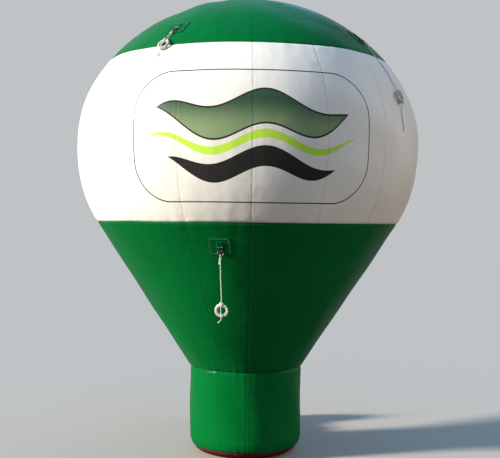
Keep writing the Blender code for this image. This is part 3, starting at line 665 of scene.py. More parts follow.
def put(piece: Piece, slot: str, *nodes: str, body: str = BALLOON) -> None:
    """Parent a finished piece to its body's empty and hide the solids that it stands for.

    Args:
        piece: the piece.
        slot: the name of its colour slot, which is only logged.
        nodes: the solids that it stands for, if any.
        body: the body that it moves with.
    """
    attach(piece, body)
    if nodes:
        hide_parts(*nodes)
    log.info("%s: %s, with %s", piece.name, slot, body)


@dataclass
class Grid:
    """Points in rows and columns; a closed one joins its last column to its first."""

    points: np.ndarray
    closed: bool = False
    start_pole: Sequence | None = None
    end_pole: Sequence | None = None

    def corners(self) -> np.ndarray:
        """The four corner numbers of each face, row by row.

        Returns:
            One row of four numbers for each face.
        """
        rows, columns = self.points.shape[:2]
        i = np.arange(columns if self.closed else columns - 1)
        n = (i + 1) % columns
        j = np.arange(rows - 1)[:, None] * columns
        return np.stack([j + i, j + n, j + columns + n, j + columns + i], axis=2).reshape(-1, 4)

    def area(self) -> float:
        """The surface's area.

        Returns:
            Square metres.
        """
        quads = self.points.reshape(-1, 3)[self.corners()]
        total = 0.0
        for a, b, c in ((0, 1, 2), (0, 2, 3)):
            sides = np.cross(quads[:, b] - quads[:, a], quads[:, c] - quads[:, a])
            total += float(np.linalg.norm(sides, axis=1).sum()) / 2
        return total

    def build(self, name: str, finish: Finish) -> Piece:
        """The grid as an object, with a fan of triangles at each pole.

        Args:
            name: the piece's name.
            finish: what it is made of.

        Returns:
            The new object.
        """
        rows, columns = self.points.shape[:2]
        points = list(self.points.reshape(-1, 3))
        faces = self.corners().tolist()
        if self.start_pole is not None:
            points.append(self.start_pole)
            last = len(points) - 1
            faces += [(last, (i + 1) % columns, i) for i in range(columns)]
        if self.end_pole is not None:
            points.append(self.end_pole)
            last, base = len(points) - 1, (rows - 1) * columns
            faces += [(base + i, base + (i + 1) % columns, last) for i in range(columns)]
        return mesh_object(name, points, faces, finish)


def give_uv(
    obj: Piece, name: str, u: np.ndarray, v: np.ndarray, middle: object = 0.0, scale: object = 1.0
) -> None:
    """Add a UV map to a grid from one more row and column of numbers than it has faces.

    Args:
        obj: the grid's object, whose faces past the grid's own get zeros.
        name: the map's name.
        u: the map's first number at each point.
        v: the map's second number at each point.
        middle: what each face takes off u.
        scale: what u is then multiplied by, one number or one at each point.
    """
    rows, columns = u.shape[0] - 1, u.shape[1] - 1
    scales = np.broadcast_to(scale, u.shape)
    corners = []
    for down, right in ((0, 0), (0, 1), (1, 1), (1, 0)):
        part = slice(down, rows + down), slice(right, columns + right)
        corners.append(np.stack([(u[part] - middle) * scales[part], v[part]], axis=2))
    corners = np.stack(corners, axis=2).reshape(-1, 2)
    flat = np.zeros((len(obj.data.loops), 2))
    flat[: len(corners)] = corners
    obj.data.uv_layers.new(name=name).data.foreach_set("uv", flat.reshape(-1))


def give_values(obj: Piece, name: str, values: np.ndarray) -> None:
    """Add a number to each point.

    Args:
        obj: the piece.
        name: the attribute's name.
        values: the numbers; points past the last one get the last one again.
    """
    flat = np.full(len(obj.data.vertices), float(values.reshape(-1)[-1]))
    flat[: values.size] = values.reshape(-1)
    obj.data.attributes.new(name, "FLOAT", "POINT").data.foreach_set("value", flat)


def smooth_points(points: Sequence[Vector], spacing: float) -> list[Vector]:
    """Points at an even spacing on a centripetal Catmull-Rom curve.

    Args:
        points: what the curve passes through.
        spacing: metres between the new points, or a little more.

    Returns:
        The new points, with both ends.
    """
    ends = [points[0] * 2 - points[1], *points, points[-1] * 2 - points[-2]]
    fine: list[Vector] = []
    for a, b, c, d in zip(ends, ends[1:], ends[2:], ends[3:]):
        before, here, after = (math.sqrt(max((q - p).length, 1e-9)) for p, q in ((a, b), (b, c), (c, d)))
        leave = ((b - a) / before - (c - a) / (before + here)) * here + (c - b)
        enter = (c - b) + ((d - c) / after - (d - b) / (here + after)) * here
        for step in range(24):
            t = step / 24
            blend = 3 * t**2 - 2 * t**3
            fine.append(b.lerp(c, blend) + leave * (t - 2 * t**2 + t**3) + enter * (t**3 - t**2))
    fine.append(points[-1].copy())
    travelled = np.concatenate([[0.0], np.cumsum([(b - a).length for a, b in zip(fine, fine[1:])])])
    count = max(int(travelled[-1] / spacing), 2)
    goals = np.linspace(0.0, travelled[-1], count + 1)
    table = np.array([tuple(p) for p in fine])
    even = np.stack([np.interp(goals, travelled, table[:, axis]) for axis in range(3)], axis=1)
    return [Vector(row) for row in even]


def relaxed_points(points: Sequence[Vector], rounds: int, tightest: float) -> list[Vector]:
    """The points with sharp kinks eased and wide curves kept; both ends stay where they are.

    Args:
        points: points at an even spacing.
        rounds: how often kinks are eased.
        tightest: the bend radius under which a curve is opened up.

    Returns:
        The points in their new places.
    """
    line = np.array([tuple(point) for point in points])
    for number in range(5 * rounds):
        for share in (0.50, -0.52):
            pull = (line[:-2] + line[2:]) / 2 - line[1:-1]
            if number >= rounds:
                spacing = np.linalg.norm(line[2:] - line[:-2], axis=1) / 2
                bend = 2 * np.linalg.norm(pull, axis=1) / spacing**2
                share = np.clip(bend[:, None] * tightest - 1, 0.0, 0.4)
            line[1:-1] += share * pull
    return [Vector(row) for row in line]


def moving_frames(points: Sequence[Vector], closed: bool = False) -> list[tuple[Vector, Vector]]:
    """Two crossways directions at each point, turned as little as possible along the way.

    Args:
        points: the way's points.
        closed: whether the way's end meets its start.

    Returns:
        A sideways and an upward direction for each point.
    """
    frames = []
    side = None
    last = len(points) - 1
    for k in range(len(points)):
        before, after = (k - 1, (k + 1) % len(points)) if closed else (max(k - 1, 0), min(k + 1, last))
        ahead = (points[after] - points[before]).normalized()
        if side is None:
            side = ahead.orthogonal().normalized()
        side = (side - ahead * side.dot(ahead)).normalized()
        frames.append((side, ahead.cross(side)))
    return frames


def sweep(
    name: str, points: Sequence[Vector], section: Sequence, finish: Finish, closed: bool = False
) -> Piece:
    """A bar of this section along the points.

    Args:
        name: the piece's name.
        points: the bar's middle line.
        section: the outline's (x, y) points.
        finish: what it is made of.
        closed: whether the bar's end meets its start; otherwise both ends are capped.

    Returns:
        The bar.
    """
    corners = []
    for point, (side, up) in zip(points, moving_frames(points, closed)):
        corners += [point + side * x + up * y for x, y in section]
    count = len(section)
    faces = []
    for row in range(len(points) if closed else len(points) - 1):
        here, there = row * count, (row + 1) % len(points) * count
        for k in range(count):
            n = (k + 1) % count
            faces.append((here + k, here + n, there + n, there + k))
    if not closed:
        last = (len(points) - 1) * count
        faces += [tuple(range(count))[::-1], tuple(last + k for k in range(count))]
    obj = mesh_object(name, corners, faces, finish)
    sharpen(obj, 45)
    return obj


def arc_points(
    centre: Sequence, radii: Sequence, first: float, last: float, count: int
) -> list[tuple[float, float]]:
    """Points on an arc.

    Args:
        centre: its centre's x and y.
        radii: how far it reaches along x and along y.
        first: the angle of its first point, in degrees from x towards y.
        last: the angle of its last point.
        count: how many points it has.

    Returns:
        The (x, y) points.
    """
    turns = [math.radians(turn) for turn in np.linspace(first, last, count)]
    return [(centre[0] + radii[0] * math.cos(t), centre[1] + radii[1] * math.sin(t)) for t in turns]


def circle(radius: float, sides: int) -> list[tuple[float, float]]:
    """The points of a round section."""
    return arc_points((0.0, 0.0), (radius, radius), 0.0, 360.0, sides + 1)[:-1]


def build_tape(
    name: str, points: Sequence[Vector], across: Vector, width: float, thick: float, finish: Finish
) -> Piece:
    """A flat band with rounded edges along the points.

    Args:
        name: the piece's name.
        points: the band's middle line.
        across: the direction of its width, the same all along.
        width: its width.
        thick: its thickness.
        finish: what it is made of.

    Returns:
        The band.
    """
    half, edge = width / 2, thick / 2
    section = [(half - edge + edge * math.cos(t), edge * math.sin(t)) for t in (-1.2, -0.5, 0.5, 1.2)]
    section += [(x, edge) for x in np.linspace(half - edge * 2, -half + edge * 2, 7)]
    section += [(-x, -y) for x, y in section]
    rows, travelled = [], [0.0]
    for k, point in enumerate(points):
        ahead = (points[min(k + 1, len(points) - 1)] - points[max(k - 1, 0)]).normalized()
        up = across.cross(ahead).normalized()
        rows.append([tuple(point + across * x + up * y) for x, y in section])
        if k:
            travelled.append(travelled[-1] + (point - points[k - 1]).length)
    obj = Grid(np.array(rows), True, points[0], points[-1]).build(name, finish)
    give_uv(obj, "cloth", *np.meshgrid([x for x, _ in [*section, section[0]]], travelled))
    sharpen(obj, 50)
    return obj


def block(
    name: str, low: Sequence, high: Sequence, bevel: float, finish: Finish, place: Matrix = Matrix()
) -> Piece:
    """A box with rounded edges.

    Args:
        name: the piece's name.
        low: its lowest corner.
        high: its highest corner.
        bevel: the radius of its edges.
        finish: what it is made of.
        place: where its frame lies, if not on the origin.

    Returns:
        The box.
    """
    bm = bmesh.new()
    bmesh.ops.create_cube(bm, size=1.0)
    low, high = Vector(low), Vector(high)
    bmesh.ops.scale(bm, vec=high - low, verts=bm.verts)
    bmesh.ops.translate(bm, vec=(low + high) / 2, verts=bm.verts)
    bmesh.ops.bevel(bm, geom=bm.edges[:], offset=bevel, segments=3, profile=0.5, affect="EDGES")
    bmesh.ops.transform(bm, matrix=place, verts=bm.verts)
    return bm_object(name, bm, finish)


ALONG_Y = Matrix.Rotation(-math.pi / 2, 4, "X")
ALONG_X = Matrix.Rotation(math.pi / 2, 4, "Y")
ALONG_Z = Matrix()


def lathe(name: str, line: Sequence, sides: int, turn: Matrix, at: Vector, finish: Finish) -> Piece:
    """A turned shape.

    Args:
        name: the piece's name.
        line: the (radius, distance along the axis) points.
        sides: how many steps round.
        turn: how the axis lies.
        at: where the axis starts.
        finish: what it is made of.

    Returns:
        The turned piece.
    """
    place = Matrix.Translation(at) @ turn
    bm = bmesh.new()
    rings = []
    for radius, along in line:
        spots = circle(radius, sides) if radius else [(0.0, 0.0)]
        rings.append([bm.verts.new(place @ Vector((*spot, along))) for spot in spots])
    for near, far in zip(rings, rings[1:]):
        for k in range(sides):
            n = (k + 1) % sides
            spots = [near[k % len(near)], near[n % len(near)], far[n % len(far)], far[k % len(far)]]
            bm.faces.new(list(dict.fromkeys(spots)))
    return bm_object(name, bm, finish)


def frame_of(x_axis: Vector, y_axis: Vector, z_axis: Vector, origin: Vector) -> Matrix:
    """The matrix that puts local axes along these directions."""
    return Matrix.Translation(origin) @ Matrix((x_axis, y_axis, z_axis)).transposed().to_4x4()


# Repeats made by Geometry Nodes


class Unit(Enum):
    """The small shapes that are repeated."""

    STITCH = "stitch"
    SCREW = "screw"
    BLADE = "blade"
    TOOTH = "tooth"


class Repeat:
    """A Geometry Nodes tree that sets copies of a small shape along lines on a surface.

    The lines are a mesh of edges whose points hold the surface's outward direction.
    """

    def __init__(self) -> None:
        """Build the tree with its named inputs."""
        inputs = {"Lines": "Geometry", "Spacing": "Float", "Size": "Vector"}
        inputs |= {"Shape": "Object", "Finish": "Material"}
        nodes, given, result = start_tree("set_along_lines", "Geometry", inputs, {"Pieces": "Geometry"})
        line = nodes.add("GeometryNodeMeshToCurve", {"Mesh": given["Lines"]}).outputs[0]
        even = {"Curve": line, "Length": given["Spacing"]}
        even = nodes.add("GeometryNodeResampleCurve", even, mode="LENGTH").outputs[0]
        shape = nodes.add("GeometryNodeObjectInfo", {"Object": given["Shape"]}).outputs["Geometry"]
        ahead = {"Vector": nodes.add("GeometryNodeInputTangent").outputs[0]}
        ahead = nodes.add("FunctionNodeAlignRotationToVector", ahead, axis="X").outputs[0]
        outward = nodes.add("GeometryNodeInputNamedAttribute", {"Name": "outward"}, data_type="FLOAT_VECTOR")
        upright = {"Rotation": ahead, "Vector": outward.outputs[0]}
        upright = nodes.add("FunctionNodeAlignRotationToVector", upright, axis="Z", pivot_axis="X").outputs[0]
        copies = {"Points": even, "Instance": shape, "Rotation": upright, "Scale": given["Size"]}
        copies = nodes.add("GeometryNodeInstanceOnPoints", copies).outputs[0]
        real = nodes.add("GeometryNodeRealizeInstances", {0: copies}).outputs[0]
        dressed = nodes.add("GeometryNodeSetMaterial", {"Geometry": real, "Material": given["Finish"]})
        nodes.fill(result, {"Pieces": dressed.outputs[0]})
        self.tree = nodes.tree

    @cache
    def shape(self, unit: Unit) -> Piece:
        """A unit shape to repeat, about one metre in size.

        Args:
            unit: which one.

        Returns:
            The shape's object, which isn't in the scene.
        """
        bm = bmesh.new()
        if unit is Unit.STITCH:
            bmesh.ops.create_icosphere(bm, subdivisions=1, radius=0.5)
        elif unit is Unit.SCREW:
            bmesh.ops.create_cone(bm, cap_ends=True, segments=12, radius1=0.5, radius2=0.38, depth=1.0)
            slot = [f for f in bm.faces if f.normal.z > 0.9]
            bmesh.ops.inset_region(bm, faces=slot, thickness=0.12)
            bmesh.ops.translate(bm, verts=slot[0].verts, vec=(0, 0, -0.35))
        elif unit is Unit.BLADE:
            self.shape_blade(bm)
        else:
            bmesh.ops.create_cube(bm, size=1.0)
            bmesh.ops.bevel(bm, geom=bm.edges[:], offset=0.12, segments=1, affect="EDGES")
        mesh = bpy.data.meshes.new(f"shape_{unit.value}")
        bm.to_mesh(mesh)
        bm.free()
        mesh.shade_smooth()
        piece = bpy.data.objects.new(mesh.name, mesh)
        if unit is not Unit.STITCH:
            sharpen(piece, 35)
        return piece

    def shape_blade(self, bm: bmesh.types.BMesh, steps: int = 6, half: float = 0.045) -> None:
        """Add a curved fan blade: it rises along Z, leans along X and is one wide along Y.

        Args:
            bm: the bmesh to add to.
            steps: how many flat steps its curve has.
            half: half its thickness.
        """
        rises = [step / steps for step in range(steps + 1)]
        leans = [0.52 * rise - 0.62 * rise * (1 - rise) - 0.20 for rise in rises]
        loop = [(lean - half, rise - 0.5) for lean, rise in zip(leans, rises)]
        loop += [(lean + half, rise - 0.5) for lean, rise in zip(leans[::-1], rises[::-1])]
        sides = [[bm.verts.new((x, y, z)) for x, z in loop] for y in (-0.5, 0.5)]
        last = len(loop) - 1
        for a in range(len(loop)):
            b = (a + 1) % len(loop)
            bm.faces.new((sides[0][a], sides[0][b], sides[1][b], sides[1][a]))
        for side in sides:
            for step in range(steps):
                bm.faces.new((side[step], side[step + 1], side[last - 1 - step], side[last - step]))
        bmesh.ops.recalc_face_normals(bm, faces=bm.faces)

    def along(
        self, name: str, lines: Sequence, unit: Unit, spacing: float, size: Sequence[float], finish: Finish
    ) -> Piece:
        """Set copies along lines.

        Args:
            name: the piece's name.
            lines: each line as points with their outward directions.
            unit: which unit shape.
            spacing: metres between copies.
            size: the copy's length, width and height.
            finish: what the copies are made of.

        Returns:
            One plain mesh of all copies.
        """
        edges, start = [], 0
        for line in lines:
            edges += [(k, k + 1) for k in range(start, start + len(line) - 1)]
            start += len(line)
        spots = [spot for line in lines for spot in line]
        mesh = bpy.data.meshes.new(name)
        mesh.from_pydata([tuple(point) for point, _ in spots], edges, [])
        ways = np.array([tuple(way) for _, way in spots]).reshape(-1)
        mesh.attributes.new("outward", "FLOAT_VECTOR", "POINT").data.foreach_set("vector", ways)
        obj = in_scene(name, mesh)
        modifier = obj.modifiers.new("Repeat", "NODES")
        modifier.node_group = self.tree
        values = {"Spacing": spacing, "Size": tuple(size)}
        values |= {"Shape": self.shape(unit), "Finish": finish.material()}
        for socket in self.tree.interface.items_tree:
            if socket.name in values:
                modifier[socket.identifier] = values[socket.name]
        return applied(obj)


REPEAT = Repeat()


class Stitch(Enum):
    """Metres from one stitch to the next, and a stitch's length, width and height."""

    SEAM = (0.0095, (0.0068, 0.0011, 0.0008))
    DISC = (0.0075, (0.0055, 0.0011, 0.0008))
    HEM = (0.0055, (0.0040, 0.0009, 0.0007))
    PATCH = (0.0046, (0.0034, 0.0009, 0.0007))
    BOX = (0.0032, (0.0026, 0.0008, 0.0006))
    TACK = (0.0011, (0.0012, 0.0040, 0.0014))


def sew(name: str, lines: Sequence, stitch: Stitch, thread: Thread, slot: str = "green_fabric") -> None:
    """Sew rows of stitches.

    Args:
        name: the piece's name.
        lines: each row as points with their outward directions.
        stitch: how long and how close the stitches are.
        thread: what they are made of.
        slot: the colour slot of the cloth that they are sewn into.
    """
    spacing, size = stitch.value
    put(REPEAT.along(name, lines, Unit.STITCH, spacing, size, thread), slot)


# Envelope


def superellipse(share: np.ndarray | float, power: float) -> np.ndarray | float:
    """The second coordinate of a unit superellipse at its first one."""
    return (1 - share**power) ** (1 / power)


@dataclass(frozen=True)
class Profile:
    """The envelope's outline: a superellipse dome, a fuller belly, a straight cone and a round neck."""

    belly_radius: float = 1.1287
    belly_z: float = 2.0572
    dome_rise: float = 0.9405
    dome_power: float = 1.893
    belly_drop: float = 0.9722
    belly_power: float = 2.316
    cone_top_z: float = 1.5063
    neck_top_z: float = 0.5679
    neck_radius: float = 0.3698
    base_round: float = 0.110
    crown_edge_z: float = 2.568
    belt_edge_z: float = 1.521
    pan_rim_z: float = 0.045
    gores: int = 16
    neck_panels: int = 8
    seam_crease: float = 0.0020
    crease_full_z: float = 1.10

    @property
    def apex_z(self) -> float:
        """The height of the dome's top."""
        return self.belly_z + self.dome_rise

    def shares(self, z: np.ndarray) -> tuple[np.ndarray, np.ndarray]:
        """How far up the dome and how far down the belly each height is, from 0 to 1."""
        rise = np.clip((z - self.belly_z) / self.dome_rise, 0.0, 1.0)
        return rise, np.clip((self.belly_z - z) / self.belly_drop, 0.0, 1.0)

    def stretches(self, z: np.ndarray) -> list[np.ndarray]:
        """Which heights are at least on the dome, on the belly and on the cone."""
        return [z >= self.belly_z, z >= self.cone_top_z, z >= self.neck_top_z]

    def radius(self, z: np.ndarray | float) -> np.ndarray:
        """The radius at a gore's centre.

        Args:
            z: one or more heights.

        Returns:
            The radius at each.
        """
        z = np.asarray(z, dtype=float)
        rise, drop = self.shares(z)
        dome = self.belly_radius * superellipse(rise, self.dome_power)
        belly = self.belly_radius * superellipse(drop, self.belly_power)
        top_drop = (self.belly_z - self.cone_top_z) / self.belly_drop
        top = self.belly_radius * superellipse(top_drop, self.belly_power)
        share = (z - self.neck_top_z) / (self.cone_top_z - self.neck_top_z)
        cone = self.neck_radius + (top - self.neck_radius) * share
        below = np.clip(self.base_round - z, 0.0, self.base_round)
        foot = self.neck_radius - self.base_round + np.sqrt(self.base_round**2 - below**2)
        return np.select(self.stretches(z), [dome, belly, cone], foot)

    def normal(self, z: np.ndarray | float) -> tuple[np.ndarray, np.ndarray]:
        """The outward direction.

        Args:
            z: one or more heights.

        Returns:
            The direction's level and its upright share at each.
        """
        z = np.asarray(z, dtype=float)
        radius = self.radius(z)
        share = radius / self.belly_radius
        rise, drop = self.shares(z)
        outs = [share ** (power - 1) / self.belly_radius for power in (self.dome_power, self.belly_power)]
        outs.append(np.full_like(z, self.cone_top_z - self.neck_top_z))
        ups = [rise ** (self.dome_power - 1) / self.dome_rise]
        ups.append(-(drop ** (self.belly_power - 1)) / self.belly_drop)
        ups.append(np.full_like(z, self.neck_radius - float(self.radius(self.cone_top_z))))
        out = np.select(self.stretches(z), outs, radius - self.neck_radius + self.base_round)
        up = np.select(self.stretches(z), ups, np.minimum(z, self.base_round) - self.base_round)
        size = np.hypot(out, up)
        return out / size, up / size

    def lobe(self, azimuth: np.ndarray, z: np.ndarray) -> np.ndarray:
        """How much each gore bulges between its seams.

        Args:
            azimuth: where around the balloon.
            z: how high.

        Returns:
            The share of the gore-centre radius at each place.
        """
        fade = np.clip((z - self.neck_top_z) / (self.crease_full_z - self.neck_top_z), 0.0, 1.0)
        turn = azimuth * self.gores / (2 * np.pi)
        across = 2 * (turn - np.floor(turn)) - 1
        return 1 - self.seam_crease * fade * across**2

    def dome_heights(self, count: int) -> np.ndarray:
        """Heights on the dome, closer together towards its top."""
        turn = np.linspace(0.0, np.pi / 2, count)
        return self.belly_z + self.dome_rise * np.sin(turn) ** (2 / self.dome_power)

    def arc(self, z: np.ndarray | float) -> np.ndarray:
        """Metres along the outline from the floor's edge.

        Args:
            z: one or more heights.

        Returns:
            The length up to each.
        """
        high = self.dome_heights(1200)
        heights = np.concatenate([np.linspace(0.0, self.crown_edge_z, 900), high[high > self.crown_edge_z]])
        steps = np.hypot(np.diff(heights), np.diff(self.radius(heights)))
        return np.interp(z, heights, np.concatenate([[0.0], np.cumsum(steps)]))

    def heights(self, low: float, high: float, step: float) -> np.ndarray:
        """Heights at even steps along the outline, closer together at both edges.

        Args:
            low: the first height.
            high: the last height.
            step: metres along the outline between two of them.

        Returns:
            The heights.
        """
        dome = self.dome_heights(4000)
        table = np.unique(np.concatenate([np.linspace(low, high, 1500), dome[(dome > low) & (dome < high)]]))
        arcs = self.arc(table)
        start, end = arcs[0], arcs[-1]
        edge = np.array([0.0, 0.0025, 0.0055, 0.009, 0.014, 0.021])
        inner = 0.030
        middle = np.linspace(start + inner, end - inner, max(int((end - start - 2 * inner) / step), 2))
        return np.interp(np.concatenate([start + edge, middle, end - edge[::-1]]), arcs, table)


PROFILE = Profile()


def radial(azimuth: float) -> Vector:
    """The level direction away from the axis."""
    return Vector((math.sin(azimuth), -math.cos(azimuth), 0.0))


def sideways(azimuth: float) -> Vector:
    """The level direction along the envelope, towards a larger azimuth."""
    return Vector((math.cos(azimuth), math.sin(azimuth), 0.0))


@dataclass(frozen=True)
class Relief:
    """The small swells and puckers of the inflated cloth, in metres along its outward direction.

    Each join has its height and how many ripples of two kinds go round it.
    """

    groove: float = 0.0006
    groove_width: float = 0.0050
    hem: float = 0.0042
    hem_width: float = 0.0075
    pucker: float = 0.0011
    pucker_start: float = 0.006
    pucker_reach: float = 0.050
    pucker_waves: tuple = ((0.047, 0.6), (0.031, 0.35), (0.088, 0.5))
    neck_fade: float = 0.04
    swell: float = 0.0016
    swells: int = 7
    gather: float = 0.0016
    gather_start: float = 0.005
    gather_reach: float = 0.055
    joins: tuple = (
        (PROFILE.crown_edge_z, 56, 73),
        (PROFILE.belt_edge_z, 60, 81),
        (PROFILE.neck_top_z, 37, 52),
        (PROFILE.pan_rim_z, 41, 58),
    )
    floor_fade: float = 0.02
    seed: int = 7

    def seam_distance(self, azimuth: np.ndarray, z: np.ndarray, seams: int) -> np.ndarray:
        """Metres to the nearest upright seam."""
        turn = azimuth * seams / (2 * np.pi)
        return np.abs(turn - np.round(turn)) * 2 * np.pi / seams * PROFILE.radius(z)

    def height(self, azimuth: np.ndarray, z: np.ndarray, seams: int) -> np.ndarray:
        """How far the cloth stands out from the plain outline.

        Args:
            azimuth: where around the balloon.
            z: how high.
            seams: how many upright seams this part has.

        Returns:
            The height of the relief.
        """
        random = np.random.default_rng(self.seed + seams)
        arc = PROFILE.arc(z)
        apart = self.seam_distance(azimuth, z, seams)
        number = np.round(azimuth * seams / (2 * np.pi)).astype(int) % seams
        wave = np.zeros_like(arc)
        for length, share in self.pucker_waves:
            phase = random.uniform(0, 2 * np.pi, seams)
            wave += share * np.sin(2 * np.pi * arc / length + phase[number])
        near = np.exp(-apart / self.pucker_reach) * (1 - np.exp(-apart / self.pucker_start))
        fade = np.clip(np.abs(z - PROFILE.neck_top_z) / self.neck_fade, 0.0, 1.0)
        relief = self.pucker * near * wave * fade
        relief -= self.groove * np.exp(-((apart / self.groove_width) ** 2)) * fade

        steady = np.random.default_rng(self.seed)
        for _ in range(self.swells):
            around, along = steady.integers(2, 12), steady.uniform(1.0, 2.6)
            phase = steady.uniform(0, 2 * np.pi)
            relief += self.swell / 2.2 * np.cos(around * azimuth + 2 * np.pi * along * arc + phase)
        for join_z, many, more in self.joins:
            away = np.abs(arc - PROFILE.arc(join_z))
            ripple = 0.6 * np.cos(many * azimuth + 1.3) + 0.5 * np.cos(more * azimuth + 4.1)
            near = np.exp(-away / self.gather_reach) * (1 - np.exp(-away / self.gather_start))
            relief += self.gather * ripple * near
            relief -= self.hem * np.exp(-((away / self.hem_width) ** 2))
        return relief * np.clip(z / self.floor_fade, 0.0, 1.0)


RELIEF = Relief()
CLOTH_WALL = 0.0016
ON_TOP = 0.0002
UP = Vector((0, 0, 1))


def cloth_point(azimuth: object, z: object, seams: int, lift: float | np.ndarray = 0.0) -> np.ndarray:
    """Points on the finished cloth, or outside it.

    Args:
        azimuth: where around the balloon.
        z: how high.
        seams: how many upright seams this part has.
        lift: how far outside the cloth.

    Returns:
        The points.
    """
    azimuth, z = np.broadcast_arrays(np.asarray(azimuth, float), np.asarray(z, float))
    out, up = PROFILE.normal(z)
    lift = lift + RELIEF.height(azimuth, z, seams)
    reach = (PROFILE.radius(z) + lift * out) * PROFILE.lobe(azimuth, z)
    return np.stack([reach * np.sin(azimuth), -reach * np.cos(azimuth), z + lift * up], axis=-1)


def outward(azimuth: object, z: object) -> np.ndarray:
    """The cloth's outward direction at each place."""
    out, up = PROFILE.normal(z)
    return np.stack(np.broadcast_arrays(out * np.sin(azimuth), -out * np.cos(azimuth), up), axis=-1)


def cloth_axes(azimuth: float, z: float) -> tuple[Vector, Vector, Vector]:
    """The directions across, up and out of the cloth at one place."""
    across, out = sideways(azimuth), Vector(outward(azimuth, z))
    return across, out.cross(across), out


def seams_at(z: float) -> int:
    """How many upright seams the envelope has at this height."""
    return PROFILE.gores if z > PROFILE.neck_top_z else PROFILE.neck_panels


def on_cloth(azimuth: float, z: float, lift: float = 0.0) -> Vector:
    """One point on the finished cloth, or this far outside it."""
    return Vector(cloth_point(azimuth, z, seams_at(z), lift))


def cloth_spots(azimuth: float, z: float, spots: Sequence, lift: float | np.ndarray) -> np.ndarray:
    """Points on the cloth around one place on it.

    Args:
        azimuth: the place's azimuth.
        z: the place's height.
        spots: each point's metres across and up the cloth from the place.
        lift: how far outside the cloth each point is.

    Returns:
        The points.
    """
    spots = np.asarray(spots, float)
    heights = z + spots[..., 1] * float(PROFILE.normal(z)[0])
    return cloth_point(azimuth + spots[..., 0] / PROFILE.radius(heights), heights, seams_at(z), lift)


def facing(spots: Iterable, way: Vector) -> list:
    """A row for small repeated pieces: each spot with the same outward direction."""
    return [(spot, way) for spot in spots]


@dataclass(frozen=True)
class Panel:
    """One coloured stretch of the envelope, sewn from gores."""

    node: str
    low: float
    high: float
    seams: int
    per_seam: int
    step: float
    finish: CoatedCloth
    slot: str
    beside_seam: float = 0.0075
    row_end: float = 0.004

    def columns(self) -> np.ndarray:
        """Where the panel's columns are, closer together at the seams.

        Returns:
            Azimuths around the panel, with the first repeated at the end.
        """
        share = (1 - np.cos(np.pi * np.arange(self.per_seam) / self.per_seam)) / 2
        turns = (np.arange(self.seams)[:, None] + share).reshape(-1)
        return np.append(turns, self.seams) * 2 * np.pi / self.seams

    def build(self) -> None:
        """Make the panel's cloth, with its UV maps and its distance to the seams."""
        closed_top = self.high >= PROFILE.apex_z
        top = PROFILE.apex_z - 0.00002 if closed_top else self.high
        azimuth, z = np.meshgrid(self.columns(), PROFILE.heights(self.low, top, self.step))
        pole = (0.0, 0.0, PROFILE.apex_z) if closed_top else None
        grid = Grid(cloth_point(azimuth, z, self.seams)[:, :-1], closed=True, end_pole=pole)
        obj = grid.build(self.node.replace("_panel", "_cloth"), self.finish)
        radius, arc = PROFILE.radius(z), PROFILE.arc(z)
        gore = np.floor((azimuth[:-1, :-1] + azimuth[:-1, 1:]) / 2 * self.seams / (2 * np.pi))
        give_uv(obj, "cloth", azimuth, arc, (gore + 0.5) * 2 * np.pi / self.seams, radius)
        if self.finish.emblem:
            centre = (azimuth[:-1, :-1] + azimuth[1:, 1:]) / 2
            turns = np.floor((centre + np.pi / 2) / np.pi) * np.pi
            give_uv(obj, "print", azimuth, z - EMBLEM.centre_z, turns, PROFILE.belly_radius)
        upright = RELIEF.seam_distance(azimuth, z, self.seams)
        level = np.minimum(arc - arc.min(), arc.max() - arc)
        # The same distance darkens the cloth near seams and level joins: partly the double layer of cloth,
        # partly painted shade in the seam creases.
        give_values(obj, "seam", np.minimum(upright * 1.8, level)[:, :-1])
        thicken(obj, CLOTH_WALL)
        put(obj, self.slot, self.node)

    def build_stitches(self) -> None:
        """Sew a row of lock stitches beside each upright seam, which stops where a print begins and ends."""
        top = min(self.high, PROFILE.apex_z - 0.0016) - self.row_end
        heights = PROFILE.heights(self.low + self.row_end, top, 0.02)
        lines = []
        for azimuth in 2 * math.pi * np.arange(self.seams) / self.seams:
            turns = azimuth + self.beside_seam / np.maximum(PROFILE.radius(heights), 0.05)
            spots, ways = cloth_point(turns, heights, self.seams, ON_TOP), outward(azimuth, heights)
            aside = abs(math.remainder(turns[0], math.pi)) * PROFILE.belly_radius
            parts = [heights > 0]
            if self.finish.emblem and aside <= EMBLEM.half_width:
                past = spots[:, 2] - EMBLEM.centre_z
                parts = [past < -EMBLEM.half_height, past > EMBLEM.half_height]
            lines += [list(zip(spots[part], ways[part])) for part in parts]
        thread = WHITE_THREAD if self.finish is WHITE else GREEN_THREAD
        sew(self.node.replace("_panel", "_stitches"), lines, Stitch.SEAM, thread, self.slot)


